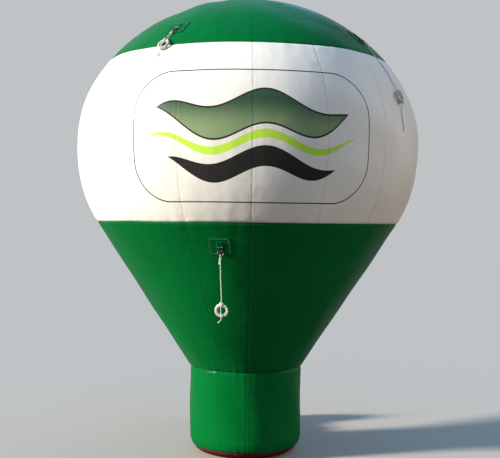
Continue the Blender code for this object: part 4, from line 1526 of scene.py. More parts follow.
class Envelope:
    """The inflated cloth: four panels, the base pan, the apex disc and their seams."""

    def __init__(self) -> None:
        """Name the panels from the floor up."""
        p = PROFILE
        self.panels = [
            Panel("neck_panel", p.pan_rim_z, p.neck_top_z, p.neck_panels, 40, 0.011, GREEN, "green_fabric"),
            Panel("cone_panel", p.neck_top_z, p.belt_edge_z, p.gores, 26, 0.015, GREEN, "green_fabric"),
            Panel("belt_panel", p.belt_edge_z, p.crown_edge_z, p.gores, 28, 0.015, WHITE, "white_fabric"),
            Panel("crown_panel", p.crown_edge_z, p.apex_z, p.gores, 24, 0.014, GREEN, "green_fabric"),
        ]

    def build(self) -> None:
        """Make every piece of the envelope."""
        for panel in self.panels:
            panel.build()
        self.build_pan()
        self.build_apex_disc()
        for panel in self.panels:
            panel.build_stitches()
        self.build_join_stitches()

    def build_pan(self) -> None:
        """The red base: a flat disc on the floor whose edge turns up into the neck."""
        columns = np.linspace(0, 2 * np.pi, 289)
        azimuth, z = np.meshgrid(columns, PROFILE.heights(0.0, PROFILE.pan_rim_z, 0.008))
        flat_radius = float(PROFILE.radius(0.0))
        turn = np.stack([np.sin(columns), -np.cos(columns), np.zeros_like(columns)], axis=1)
        rings = np.array([turn * flat_radius * share for share in (0.25, 0.5, 0.7, 0.85, 0.95)])
        points = np.concatenate([rings, cloth_point(azimuth, z, PROFILE.neck_panels)])
        obj = Grid(points[:, :-1], closed=True, start_pole=(0.0, 0.0, 0.0)).build("base_pan_cloth", RED)
        give_uv(obj, "cloth", points[..., 0], points[..., 1])
        thicken(obj, CLOTH_WALL)
        put(obj, "red_fabric", "base_pan")
        across = 2 * (flat_radius + float(PROFILE.arc(PROFILE.pan_rim_z)))
        log.info("base pan: cut %.2f m across", across)

    def build_apex_disc(self, radius: float = 0.075, thick: float = 0.0017, inset: float = 0.006) -> None:
        """A round cover over the point where the gores meet.

        Args:
            radius: the disc's radius.
            thick: its thickness.
            inset: how far its stitches are from its edge.
        """
        rings = np.array([0.2, 0.45, 0.7, 0.88, 0.96, 1.0]) * radius
        share = superellipse(rings / PROFILE.belly_radius, PROFILE.dome_power)
        tops = PROFILE.belly_z + PROFILE.dome_rise * share + GAP
        columns = np.linspace(0, 2 * np.pi, 97)
        turn = np.stack([np.sin(columns), -np.cos(columns)], axis=1)
        level = rings[::-1, None, None] * turn[None]
        upright = np.broadcast_to(tops[::-1, None, None], (*level.shape[:2], 1))
        points = np.concatenate([level, upright], axis=2)
        grid = Grid(points[:, :-1], closed=True, end_pole=(0.0, 0.0, PROFILE.apex_z + GAP))
        obj = grid.build("apex_disc_cloth", PATCH)
        give_uv(obj, "cloth", points[..., 0], points[..., 1])
        thicken(obj, thick, inward=False)
        put(obj, "green_fabric", "apex_disc")
        height = float(np.interp(radius - inset, rings, tops)) + thick + GAP
        turns = np.linspace(0, 2 * np.pi, 61)
        spots = [radial(azimuth) * (radius - inset) + UP * height for azimuth in turns]
        sew("apex_stitches", [facing(spots, UP)], Stitch.DISC, PALE_THREAD)

    def build_join_stitches(self, drop: float = 0.011) -> None:
        """Sew a row along each level join, on the side of its hem.

        Args:
            drop: how far the row is from the join.
        """
        turns = np.linspace(0, 2 * np.pi, 481)
        lines = []
        edges = (PROFILE.crown_edge_z, drop), (PROFILE.belt_edge_z, -drop), (PROFILE.neck_top_z, drop)
        for z, side in edges:
            height = z + side * float(PROFILE.normal(z + side)[0])
            spots = cloth_point(turns, height, seams_at(height), ON_TOP)
            lines.append(list(zip(spots, outward(turns, z + side))))
        sew("join_stitches", lines, Stitch.SEAM, GREEN_THREAD)


# Tie points and ropes


class Lie(Enum):
    """Where a rope's coil centre and its tail's end are, in metres above the floor."""

    SHORT = (2.560, 2.490)
    LONG = (2.295, 2.090)
    HANGING = (1.011, 0.935)


def eased(share: float) -> float:
    """A share from 0 to 1 that starts and ends gently."""
    return share * share * (3 - 2 * share)


@dataclass
class RopeMaker:
    """Turns a route into three-strand laid rope."""

    radius: float = 0.003
    step: float = 0.0025
    lay: float = 0.021
    groove_radius: float = 0.0018
    easing: int = 14
    tightest: float = 0.0122
    sides: int = 12

    def section(self) -> list[tuple[float, float]]:
        """The rope's cross-section, three round strands side by side.

        Returns:
            Each point's radius and how deep in a groove it is.
        """
        strand = self.radius / (1 + 2 / math.sqrt(3))
        offset = self.radius - strand
        points = []
        for k in range(self.sides):
            turn = math.radians(((k * 360 / self.sides + 60) % 120) - 60)
            left = max(strand**2 - (offset * math.sin(turn)) ** 2, 0.0)
            reach = offset * math.cos(turn) + math.sqrt(left)
            points.append((max(reach, self.groove_radius), (abs(math.degrees(turn)) / 60) ** 2))
        return points

    def build(self, name: str, route: Sequence[Vector]) -> tuple[Piece, list[Vector]]:
        """The rope along a route.

        Args:
            name: the piece's name.
            route: points that the rope's middle passes through.

        Returns:
            The rope and the even points that its middle follows.
        """
        line = relaxed_points(smooth_points(route, self.step), self.easing, self.tightest)
        line = smooth_points(line, self.step)
        section = self.section()
        rows, travelled = [], 0.0
        for k, (point, (side, up)) in enumerate(zip(line, moving_frames(line))):
            travelled += (point - line[k - 1]).length if k else 0.0
            ring = []
            for n, (reach, _) in enumerate(section):
                turn = 2 * math.pi * (n / self.sides + travelled / self.lay)
                ring.append(tuple(point + side * (reach * math.cos(turn)) + up * (reach * math.sin(turn))))
            rows.append(ring)
        obj = Grid(np.array(rows), True, line[0], line[-1]).build(name, ROPE)
        around = np.arange(self.sides + 1) / self.sides
        give_uv(obj, "cord", *np.meshgrid(around, np.arange(len(line)) * self.step))
        give_values(obj, "groove", np.tile([depth for _, depth in section], len(line)))
        return obj, line


ROPE_MAKER = RopeMaker()


@dataclass
class TieRope:
    """One tie rope: its hitch on the ring, its run, its wound and wrapped coil, and its tail.

    Points of the coil's lead, face and foot are metres in the coil's own frame. Those of the hitch are
    millimetres beside, down and out from the ring's bow.
    """

    name: str
    azimuth: float
    knot: Vector
    hang: Vector
    face: Vector
    lie: Lie
    seed: int
    coil_radius: float = 0.032
    coil_section: float = 0.0105
    coil_shift: float = 0.010
    coil_tilt: float = 0.0022
    lane_step: float = 0.0063
    wobble: float = 0.0007
    wrap_radius: float = 0.0128
    wrap_pitch: float = 0.0064
    wrap_from: float = 60.0
    wrap_to: float = 805.0
    wrap_rise: float = 0.030
    wrap_turn: float = 0.0280
    wrap_step: float = 0.0030
    lanes: tuple = (0, -60, -120, 180, None, 120, 60)
    join_degrees: float = -38.0
    leave_degrees: float = 61.0
    change_from: float = 192.0
    change_to: float = 247.0
    off_cloth: float = 0.0036
    drifts: tuple = ((0.35, -0.006), (0.7, -0.010), (1.0, -0.012))
    down_face: tuple = (
        *((0.010, 0.0112), (-0.008, 0.0112), (-0.024, 0.0133)),
        *((-0.034, 0.0132), (-0.044, 0.0095)),
    )
    foot: tuple = ((-0.002, -0.053, 0.0035), (-0.009, -0.062, 0.001), (-0.021, -0.0735, 0.0))
    hitch: tuple = (
        ((0.0, 8.5, 2.2), (0.0, 3.0, 4.8), (0.0, -2.3, 5.7), (0.3, -7.2, 3.0), (0.6, -7.9, -1.0))
        + ((0.9, -4.2, -4.6), (1.4, 1.0, -4.6), (3.4, 5.2, -3.8), (5.7, 7.8, -0.4), (3.4, 9.6, 4.7))
        + ((-2.8, 11.2, 5.2), (-5.8, 12.8, 0.2), (-0.4, 14.4, -5.4), (5.7, 15.8, -0.2), (3.0, 17.4, 5.0))
        + ((-3.2, 19.0, 4.6), (-5.9, 21.5, 0.2), (-5.8, 27.0, -1.4), (-6.4, 36.0, -0.6), (-7.6, 46.0, 0.4))
    )

    @property
    def hangs(self) -> bool:
        """Whether the rope hangs free of the cloth."""
        return self.lie is Lie.HANGING

    def frame(self) -> Matrix:
        """Place the coil.

        Returns:
            Its frame: X along the cloth, Y up the rope, Z out of the coil's face.
        """
        coil_z = self.lie.value[0]
        if self.hangs:
            beside = sideways(self.azimuth)
            centre = Vector((self.knot.x, self.knot.y, coil_z)) + beside * self.coil_shift
            return frame_of(beside, UP, radial(self.azimuth), centre)
        centre = on_cloth(self.azimuth, coil_z, self.coil_section + 0.0010)
        return frame_of(*cloth_axes(self.azimuth, coil_z), centre)

    def spot(self, turn: float, around: float, reach: float) -> Vector:
        """A point near the bundle of turns.

        Args:
            turn: degrees round the coil from its top, clockwise.
            around: degrees round the bundle, from the outside over the face.
            reach: metres from the bundle's middle.

        Returns:
            The point in the coil's frame.
        """
        turn, around = math.radians(turn), math.radians(around)
        radius = self.coil_radius + reach * math.cos(around)
        tilt = 0.0 if self.hangs else self.coil_tilt * (1 + math.cos(turn))
        return Vector((radius * math.sin(turn), radius * math.cos(turn), reach * math.sin(around) + tilt))

    def lane_offset(self, number: int) -> complex:
        """The lane's place across the bundle: outwards, and towards the face."""
        around = self.lanes[min(number, len(self.lanes) - 1)]
        return 0j if around is None else cmath.rect(self.lane_step, math.radians(around))

    def coil_points(self) -> list[Vector]:
        """The turns, each in its own lane, with a small change of lane once a turn.

        Returns:
            Points in the coil's frame.
        """
        phases = np.random.default_rng(self.seed).uniform(0, 2 * math.pi, 4)
        end = 360.0 * (len(self.lanes) - 1) + (self.join_degrees - self.leave_degrees) % 360.0
        points = []
        for travel in np.arange(0.0, end, 12.0):
            number = int(travel // 360.0)
            share = (travel - 360.0 * number - self.change_from) / (self.change_to - self.change_from)
            share = eased(min(max(share, 0.0), 1.0))
            lane = self.lane_offset(number) * (1 - share) + self.lane_offset(number + 1) * share
            turn = math.radians(travel)
            lane += self.wobble * complex(math.sin(1.7 * turn + phases[0]), math.sin(2.3 * turn + phases[1]))
            finer = complex(math.sin(4.1 * turn + phases[2]), math.cos(3.7 * turn + phases[3]))
            lane += self.wobble / 2 * finer
            around = math.degrees(math.atan2(lane.imag, lane.real))
            points.append(self.spot(self.join_degrees - travel, around, abs(lane)))
        return points

    def wrap_points(self) -> list[Vector]:
        """The rope's turn off its lane, two wraps round the bundle, and the strand down the face.

        Returns:
            Points in the coil's frame.
        """
        turn, around, heading, travelled = self.leave_degrees, self.wrap_from, 0.0, 0.0
        full = math.pi / 2 - math.atan(self.wrap_pitch / (2 * math.pi * self.wrap_radius))
        points = []
        while around < self.wrap_to:
            grown = eased(min(travelled / self.wrap_rise, 1.0))
            reach = self.lane_step + (self.wrap_radius - self.lane_step) * grown
            points.append(self.spot(turn, around, reach))
            heading = min(heading + self.wrap_step / self.wrap_turn, full)
            turn -= math.degrees(self.wrap_step * math.cos(heading) / self.coil_radius)
            around += math.degrees(self.wrap_step * math.sin(heading) / reach)
            travelled += self.wrap_step
        last_x = points[-1].x
        for k, (y, z) in enumerate(self.down_face):
            points.append(Vector((last_x * (1 - 0.25 * (k + 1)), y, z)))
        return points

    def route(self) -> list[Vector]:
        """The whole way of the rope.

        Returns:
            Points of its middle, from the ring to the free end.
        """
        place = self.frame()
        top = place @ Vector((-0.0030, self.coil_radius + self.coil_section + 0.0086, 0.0))
        start = [self.knot, self.knot + self.hang * 0.008]
        if self.hangs:
            start.append(self.knot.lerp(top, 0.5) + self.face * 0.003)
            depths = (0.0012, 0.0008)
            tail = [place @ Vector(spot) for spot in self.foot]
        else:
            for share in (0.3, 0.6, 0.85):
                height = self.knot.z + (top.z - self.knot.z) * share
                start.append(on_cloth(self.azimuth, height, self.off_cloth))
            depths = (-0.004, -0.002)
            tail = [place @ Vector((-0.002, -0.053, -0.002))]
            foot_z, tail_z = tail[0].z, self.lie.value[1]
            for share, drift in self.drifts:
                azimuth = self.azimuth + drift / float(PROFILE.radius(foot_z))
                tail.append(on_cloth(azimuth, foot_z + (tail_z - foot_z) * share, self.off_cloth))
        lead = [(-0.0075, 0.0445, depths[0]), (-0.0125, 0.0385, depths[1]), (-0.0185, 0.0335, 0.0)]
        wound = [*(Vector(spot) for spot in lead), *self.coil_points(), *self.wrap_points()]
        return [*start, top, *(place @ spot for spot in wound), *tail]

    def build_hitch(self) -> Piece:
        """Tie two half hitches on the ring's bow, with a short end beside the run.

        Returns:
            The hitch with its whipped end.
        """
        beside = sideways(self.azimuth)
        points = [self.knot + (beside * b + self.hang * h + self.face * a) * MM for b, h, a in self.hitch]
        knot, line = RopeMaker(step=0.0018, easing=0).build(f"rope_hitch_{self.name}", points)
        return join(knot.name, [knot, self.build_whipping("short", line)])

    def build_whipping(self, end: str, line: Sequence[Vector], rounds: int = 15) -> Piece:
        """Wind twine tightly round the rope's last centimetre.

        Args:
            end: which end it is, for the name.
            line: the rope's middle.
            rounds: how many rings the twine has, each second one raised.

        Returns:
            The whipping.
        """
        ahead = (line[-1] - line[-4]).normalized()
        points = [line[-1] - ahead * (0.0105 - 0.0008 * k) for k in range(rounds)]
        rings = []
        for k, (point, (side, up)) in enumerate(zip(points, moving_frames(points))):
            reach = 0.00335 if k % 2 else 0.00300
            rings.append([tuple(point + side * (reach * x) + up * (reach * y)) for x, y in circle(1.0, 12)])
        grid = Grid(np.array(rings), True, points[0], points[-1])
        return grid.build(f"rope_whipping_{end}_{self.name}", WHITE_THREAD)

    def build(self) -> None:
        rope, line = ROPE_MAKER.build(f"rope_{self.name}", self.route())
        hitch = self.build_hitch()
        whipping = self.build_whipping("long", line)
        put(rope, "rope", *(f"{node}_{self.name}" for node in ("tie_rope", "rope_coil", "rope_tail")))
        for piece in (hitch, whipping):
            put(piece, "rope")


@dataclass
class TiePoint:
    """A sewn patch, a folded webbing tab under a cover, a D-ring and the rope tied to it.

    Each ring of a pad has its share of the pad's outline and its hem's height in millimetres.
    """

    name: str
    azimuth_degrees: float
    z: float
    lie: Lie
    patch_width: float = 0.130
    patch_height: float = 0.120
    patch_corner: float = 0.016
    patch_thick: float = 0.003
    cover_width: float = 0.046
    cover_height: float = 0.036
    cover_corner: float = 0.006
    cover_up: float = 0.0165
    cover_thick: float = 0.0009
    pad_rings: tuple = ((1.0, -0.35), (0.985, 0.0), (0.96, 0.25), (0.90, 0.25), (0.87, 0.0))
    pad_middle: tuple = (0.82, 0.76, 0.70, 0.64, 0.5, 0.3)
    webbing_width: float = 0.030
    tape_thick: float = 0.0014
    webbing_top: float = 0.030
    eye_down: float = 0.034
    eye_radius: float = 0.0047
    bar: float = 0.0040
    ring_half: float = 0.0185
    ring_side: float = 0.008
    ring_arc: float = 0.016
    ring_corner: float = 0.0035
    ring_reach: float = 0.0263
    weld: tuple = ((-1.7, 1.9), (-1.0, 2.3), (0.0, 2.5), (1.0, 2.3), (1.7, 1.9))

    def __post_init__(self) -> None:
        """Work out the tie's own directions and its seat on the patch."""
        self.azimuth = math.radians(self.azimuth_degrees)
        self.across, self.rise, self.normal = cloth_axes(self.azimuth, self.z)
        self.seat = on_cloth(self.azimuth, self.z, self.patch_thick + 2 * GAP)
        self.place = frame_of(self.across, self.rise, self.normal, self.seat)
        self.eye = self.seat - self.rise * self.eye_down + self.normal * self.eye_radius
        hanging = self.lie is Lie.HANGING
        self.hang = -UP if hanging else -self.rise
        self.face = radial(self.azimuth) if hanging else self.normal

    def on_patch(self, spots: Sequence, lift: float | np.ndarray) -> np.ndarray:
        """Points across and up the cloth from the tie's middle, this far outside it."""
        return cloth_spots(self.azimuth, self.z, spots, lift)

    def outline(self, width: float, height: float, corner: float) -> list[tuple[float, float]]:
        """A rectangle with round corners.

        Args:
            width: its width.
            height: its height.
            corner: its corners' radius.

        Returns:
            Points round its edge, with three more on each straight side.
        """
        half, top = width / 2 - corner, height / 2 - corner
        middles = [(half, -top), (half, top), (-half, top), (-half, -top)]
        points = []
        for k, middle in enumerate(middles):
            bend = arc_points(middle, (corner, corner), 90 * k - 90, 90 * k, 5)
            x, y = bend[-1]
            following = middles[(k + 1) % 4]
            dx, dy = following[0] - middle[0], following[1] - middle[1]
            points += bend + [(x + dx * share, y + dy * share) for share in (0.25, 0.5, 0.75)]
        return points

    def over_tape(self, x: float, y: float) -> float:
        """How much of the webbing's height a cover has at one spot.

        Args:
            x: metres across from the tie's middle.
            y: metres up from it.

        Returns:
            One over the webbing, zero beside it.
        """
        side = self.webbing_width / 2
        beside = np.interp(abs(x), (side + 0.0004, side + 0.0050), (1.0, 0.0))
        above = np.interp(y, (self.webbing_top + 0.0003, self.webbing_top + 0.0042), (1.0, 0.0))
        return eased(float(beside * above))

    def pad(
        self, name: str, size: Sequence, corner: float, at_y: float, lift: float, wall: float, bulge: float
    ) -> Piece:
        """A pad of cloth that follows the envelope, with a raised hem round its edge.

        Args:
            name: the piece's name.
            size: its width and height.
            corner: its corners' radius.
            at_y: how far its middle is above the tie's middle.
            lift: how far its back is from the cloth.
            wall: its thickness.
            bulge: how much higher it stands over the webbing.

        Returns:
            The pad.
        """
        edge = self.outline(*size, corner)
        rows, flat = [], []
        for share, hem in (*self.pad_rings, *((share, 0.0) for share in self.pad_middle)):
            spots = [(x * share, y * share + at_y) for x, y in edge]
            flat.append([*spots, spots[0]])
            lifts = [lift + wall + hem * MM + bulge * self.over_tape(x, y) for x, y in spots]
            rows.append(self.on_patch(spots, np.array(lifts)))
        pole = self.on_patch([(0.0, at_y)], lift + wall + bulge)[0]
        grid = Grid(np.array(rows), closed=True, end_pole=pole)
        obj = grid.build(name, PATCH)
        give_uv(obj, "cloth", *np.moveaxis(np.array(flat), -1, 0))
        thicken(obj, wall)
        put(obj, "green_fabric")
        return obj

    def build_webbing(self) -> None:
        """The tape that comes down from under the cover, goes round the ring's bar and back up."""
        half = self.tape_thick / 2
        bend = self.eye_radius - half - 0.00005
        down = -self.eye_down
        path = [(y, half) for y in np.linspace(self.webbing_top, down + 0.003, 12)]
        path += arc_points((down, self.eye_radius), (bend, bend), -90, -290, 14)
        high = half + self.tape_thick + 0.0001
        path += [(down + 0.0065, high + 0.0042), (down + 0.010, high + 0.0016)]
        path += [(y, high) for y in np.linspace(down + 0.014, self.webbing_top - 0.001, 10)]
        points = [self.place @ Vector((0, y, z)) for y, z in path]
        name = f"webbing_{self.name}"
        tape = build_tape(name, points, self.across, self.webbing_width, self.tape_thick, BLACK_TAPE)
        put(tape, "black_webbing", f"tie_{name}")

    def build_ring(self) -> None:
        """The D-ring of round bar, with a small weld on its straight side."""
        half, corner = self.ring_half, self.ring_corner
        path = [(x, 0.0) for x in np.linspace(-half + 0.004, half - 0.004, 7)]
        path += arc_points((half - corner, -corner), (corner, corner), 60, 0, 3)
        path += arc_points((0.0, -self.ring_side), (half, self.ring_arc), 0, -180, 19)
        path += arc_points((-half + corner, -corner), (corner, corner), 180, 120, 3)
        place = frame_of(self.across, -self.hang, self.face, self.eye)
        points = [place @ Vector((x, y, 0)) for x, y in path]
        name = f"ring_{self.name}"
        ring = sweep(name, points, circle(self.bar / 2, 12), AGED_ZINC, closed=True)
        rows = []
        for x, reach in self.weld:
            spot = place @ Vector((x * MM, 0, 0))
            around = [self.face * across + self.hang * down for across, down in circle(reach * MM, 12)]
            rows.append([tuple(spot + way) for way in around])
        weld = Grid(np.array(rows), closed=True).build(f"weld_{self.name}", AGED_ZINC)
        put(join(name, [ring, weld]), "zinc_steel", f"tie_{name}")

    def stitch_lines(self) -> list:
        """The two rows of stitches round the patch.

        Returns:
            The rows.
        """
        lines = []
        for inset in (0.0048, 0.0100):
            size = self.patch_width - 2 * inset, self.patch_height - 2 * inset
            edge = self.outline(*size, self.patch_corner - inset / 2)
            spots = self.on_patch([*edge, edge[0]], self.patch_thick + GAP + 0.0004)
            lines.append(facing(spots, self.normal))
        return lines

    def tack_lines(self) -> list:
        """The short row that closes the cover's lower edge over the webbing.

        Returns:
            The one row.
        """
        top = self.patch_thick + 2 * self.tape_thick + 0.0019
        spots = [(x, -0.0022) for x in np.linspace(-0.0145, 0.0145, 5)]
        return [facing(self.on_patch(spots, top), self.normal)]

    def box_lines(self) -> list:
        """The box and its crossing lines that hold the webbing down.

        Returns:
            The box's four sides and its crossing lines, as rows of two points.
        """
        half, low, high = 0.0115, -0.0210, -0.0055
        corners = [(-half, low), (half, low), (half, high), (-half, high), (-half, low), (half, high)]
        corners += [(half, low), (-half, high)]
        height = self.tape_thick * 2 + GAP
        spots = [self.place @ Vector((x, y, height)) for x, y in corners]
        return [facing(pair, self.normal) for pair in zip(spots, spots[1:])]

    def build(self) -> None:
        """Make the patch, the cover, the webbing, the ring and the rope."""
        size = (self.patch_width, self.patch_height)
        patch = self.pad(f"patch_{self.name}", size, self.patch_corner, 0.0, GAP, self.patch_thick, 0.0)
        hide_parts(f"tie_patch_{self.name}")
        size = (self.cover_width, self.cover_height)
        lift, bulge = self.patch_thick + 3 * GAP, 2 * self.tape_thick + GAP
        name = f"patch_cover_{self.name}"
        self.pad(name, size, self.cover_corner, self.cover_up, lift, self.cover_thick, bulge)
        self.build_webbing()
        self.build_ring()
        knot = self.eye + self.hang * self.ring_reach
        seed = 11 + sum(ord(letter) for letter in self.name)
        TieRope(self.name, self.azimuth, knot, self.hang, self.face, self.lie, seed).build()


class TiePoints:
    """The six tie points: four on the crown and two on the cone."""

    def __init__(self) -> None:
        """Name the six."""
        upper, lower = 2.690, 1.384
        self.ties = [
            TiePoint("upper_front_left", -33.75, upper, Lie.SHORT),
            TiePoint("upper_front_right", 56.25, upper, Lie.LONG),
            TiePoint("upper_rear_right", 146.25, upper, Lie.LONG),
            TiePoint("upper_rear_left", -123.75, upper, Lie.SHORT),
            TiePoint("lower_front", -11.25, lower, Lie.HANGING),
            TiePoint("lower_rear", 168.75, lower, Lie.HANGING),
        ]

    def build(self) -> None:
        """Make every tie point, then the stitches of all of them."""
        for tie in self.ties:
            tie.build()
        rows = [
            ("tie_patch_stitches", TiePoint.stitch_lines, Stitch.PATCH, PALE_THREAD, "green_fabric"),
            ("tie_bar_tacks", TiePoint.tack_lines, Stitch.TACK, WHITE_THREAD, "white_fabric"),
            ("tie_box_stitches", TiePoint.box_lines, Stitch.BOX, BLACK_THREAD, "black_webbing"),
        ]
        for name, lines_of, stitch, thread, slot in rows:
            sew(name, [line for tie in self.ties for line in lines_of(tie)], stitch, thread, slot)


# Rear: deflation zip, inflation sleeve and blower


Lift = Callable[[float, float], float]


@dataclass
class DeflationZip:
    """The long zip on the rear seam, the flap over it and the slider with its pull."""

    z: float = 0.860
    tape_width: float = 0.036
    tape_height: float = 0.440
    tape_thick: float = 0.0022
    tooth_apart: float = 0.0025
    flap_width: float = 0.072
    flap_height: float = 0.480
    flap_thick: float = 0.0016
    slider_down: float = 0.2465
    pull_length: float = 0.075
    pull_width: float = 0.016
    azimuth: float = math.pi

    def __post_init__(self) -> None:
        """Work out the cloth's slope at the zip."""
        self.across, self.rise, self.normal = cloth_axes(self.azimuth, self.z)

    def spot(self, x: float, y: float, lift: float) -> Vector:
        """A point x across and y up the cloth from the zip's middle, this far outside the cloth."""
        return Vector(cloth_spots(self.azimuth, self.z, (x, y), lift))

    def row(self, places: Sequence, lift: Lift) -> list:
        """A row of small pieces on the cloth.

        Args:
            places: metres across and up the cloth from the zip's middle.
            lift: the height over the cloth for each x and y.

        Returns:
            Each place with the direction away from the cloth.
        """
        lifts = np.array([lift(x, y) for x, y in places])
        return facing(cloth_spots(self.azimuth, self.z, places, lifts), self.normal)

    def strip(
        self, name: str, x_values: Sequence, y_values: Sequence, lift: Lift, finish: Finish
    ) -> tuple[Piece, float]:
        """A strip of cloth over the seam.

        Args:
            name: the piece's name.
            x_values: its columns.
            y_values: its rows.
            lift: the height of the outer face for each x and y.
            finish: what it is made of.

        Returns:
            The strip's object and its area.
        """
        u, v = np.meshgrid(x_values, y_values)
        lifts = np.array([[lift(x, y) for x in x_values] for y in y_values])
        grid = Grid(cloth_spots(self.azimuth, self.z, np.stack([u, v], axis=-1), lifts))
        obj = grid.build(name, finish)
        give_uv(obj, "cloth", u, v)
        return obj, grid.area()

    def build_zip(self) -> None:
        """The tape, its teeth and the slider."""
        half, top = self.tape_width / 2, self.tape_height / 2
        rows, columns = np.linspace(-top, top, 60), np.linspace(-half, half, 13)
        tape, _ = self.strip("zip_tape", columns, rows, lambda x, y: ON_TOP + self.tape_thick, BLACK_TAPE)
        thicken(tape, self.tape_thick)
        lines = []
        for side, shift in ((-0.0016, 0.0), (0.0016, self.tooth_apart / 2)):
            places = [(side, y) for y in np.linspace(-top + shift, top, 60)]
            lines.append(self.row(places, lambda x, y: self.tape_thick + 0.0012))
        size = (0.0014, 0.0040, 0.0022)
        teeth = REPEAT.along("zip_teeth", lines, Unit.TOOTH, self.tooth_apart, size, BLACK)
        put(tape, "black_webbing", "deflation_zip")
        put(teeth, "black_webbing")
        self.build_slider()

    def build_slider(self) -> None:
        """The slider at the zip's lower end, with a short ribbon to pull it by."""
        at = self.spot(0.0, -self.slider_down, 0.0058)
        place = frame_of(self.across, self.rise, self.normal, at)
        body = block("zip_slider", (-0.0065, -0.008, -0.0035), (0.0065, 0.009, 0.0020), 0.0014, ZINC, place)
        line = ((0.006, 0.0015), (0.005, 0.0048), (-0.004, 0.0050), (-0.006, 0.0015))
        bridge = smooth_points([place @ Vector((0, y, z)) for y, z in line], 0.0008)
        slider = join("zip_slider", [body, sweep("zip_bridge", bridge, circle(0.0011, 8), ZINC)])
        line = ((0.001, 0.0026), (-0.010, 0.0034), (-0.022, 0.0010))
        path = [place @ Vector((0, y, z)) for y, z in line]
        for share in (0.45, 0.7, 1.0):
            lift = 0.0035 + 0.0030 * math.sin(9.0 * share)
            path.append(self.spot(0.002 * share, -self.slider_down - self.pull_length * share, lift))
        path = smooth_points(path, 0.003)
        put(slider, "zinc_steel")
        put(build_tape("zip_pull", path, self.across, self.pull_width, 0.0012, RED_TAPE), "red_fabric")

    def flap_lift(self, x: float, y: float) -> float:
        """The flap's height over the plain outline.

        Args:
            x: metres across from the zip's middle.
            y: metres up from it.

        Returns:
            The height of the flap's outer face, loose and waving at the free side.
        """
        over = 0.0052 * math.exp(-((x / 0.024) ** 4))
        wave = 0.0022 + 0.0016 * math.sin(31 * y + 1.0) + 0.0010 * math.sin(67 * y)
        loose = max(2 * x / self.flap_width, 0.0) ** 3 * wave
        end = 0.0009 * math.sin(140 * x + 2) * (2 * abs(y) / self.flap_height) ** 8
        return max(self.flap_thick + 0.0008, over + 0.0004) + loose + end

    def build_flap(self) -> None:
        """The cover flap: sewn down on one side, lying loose on the other."""
        half, top = self.flap_width / 2, self.flap_height / 2
        rows, columns = np.linspace(-top, top, 120), np.linspace(-half, half, 33)
        flap, area = self.strip("zip_flap_cloth", columns, rows, self.flap_lift, PATCH)
        thicken(flap, self.flap_thick)
        put(flap, "green_fabric", "zip_flap")
        side, end = half - 0.005, top - 0.005
        rows = [[(x, y) for y in np.linspace(-end, end, 90)] for x in (-side, -side + 0.005, side)]
        rows += [[(x, y) for x in np.linspace(-side, side, 12)] for y in (-end + 0.001, end - 0.001)]
        lines = [self.row(places, lambda x, y: self.flap_lift(x, y) + GAP) for places in rows]
        sew("zip_flap_stitches", lines, Stitch.HEM, PALE_THREAD)

    def build(self) -> None:
        """Make the zip and its flap."""
        self.build_zip()
        self.build_flap()


def bell(value: float, middle: float, width: float) -> float:
    """A bell curve, one at its middle."""
    return math.exp(-(((value - middle) / width) ** 2))


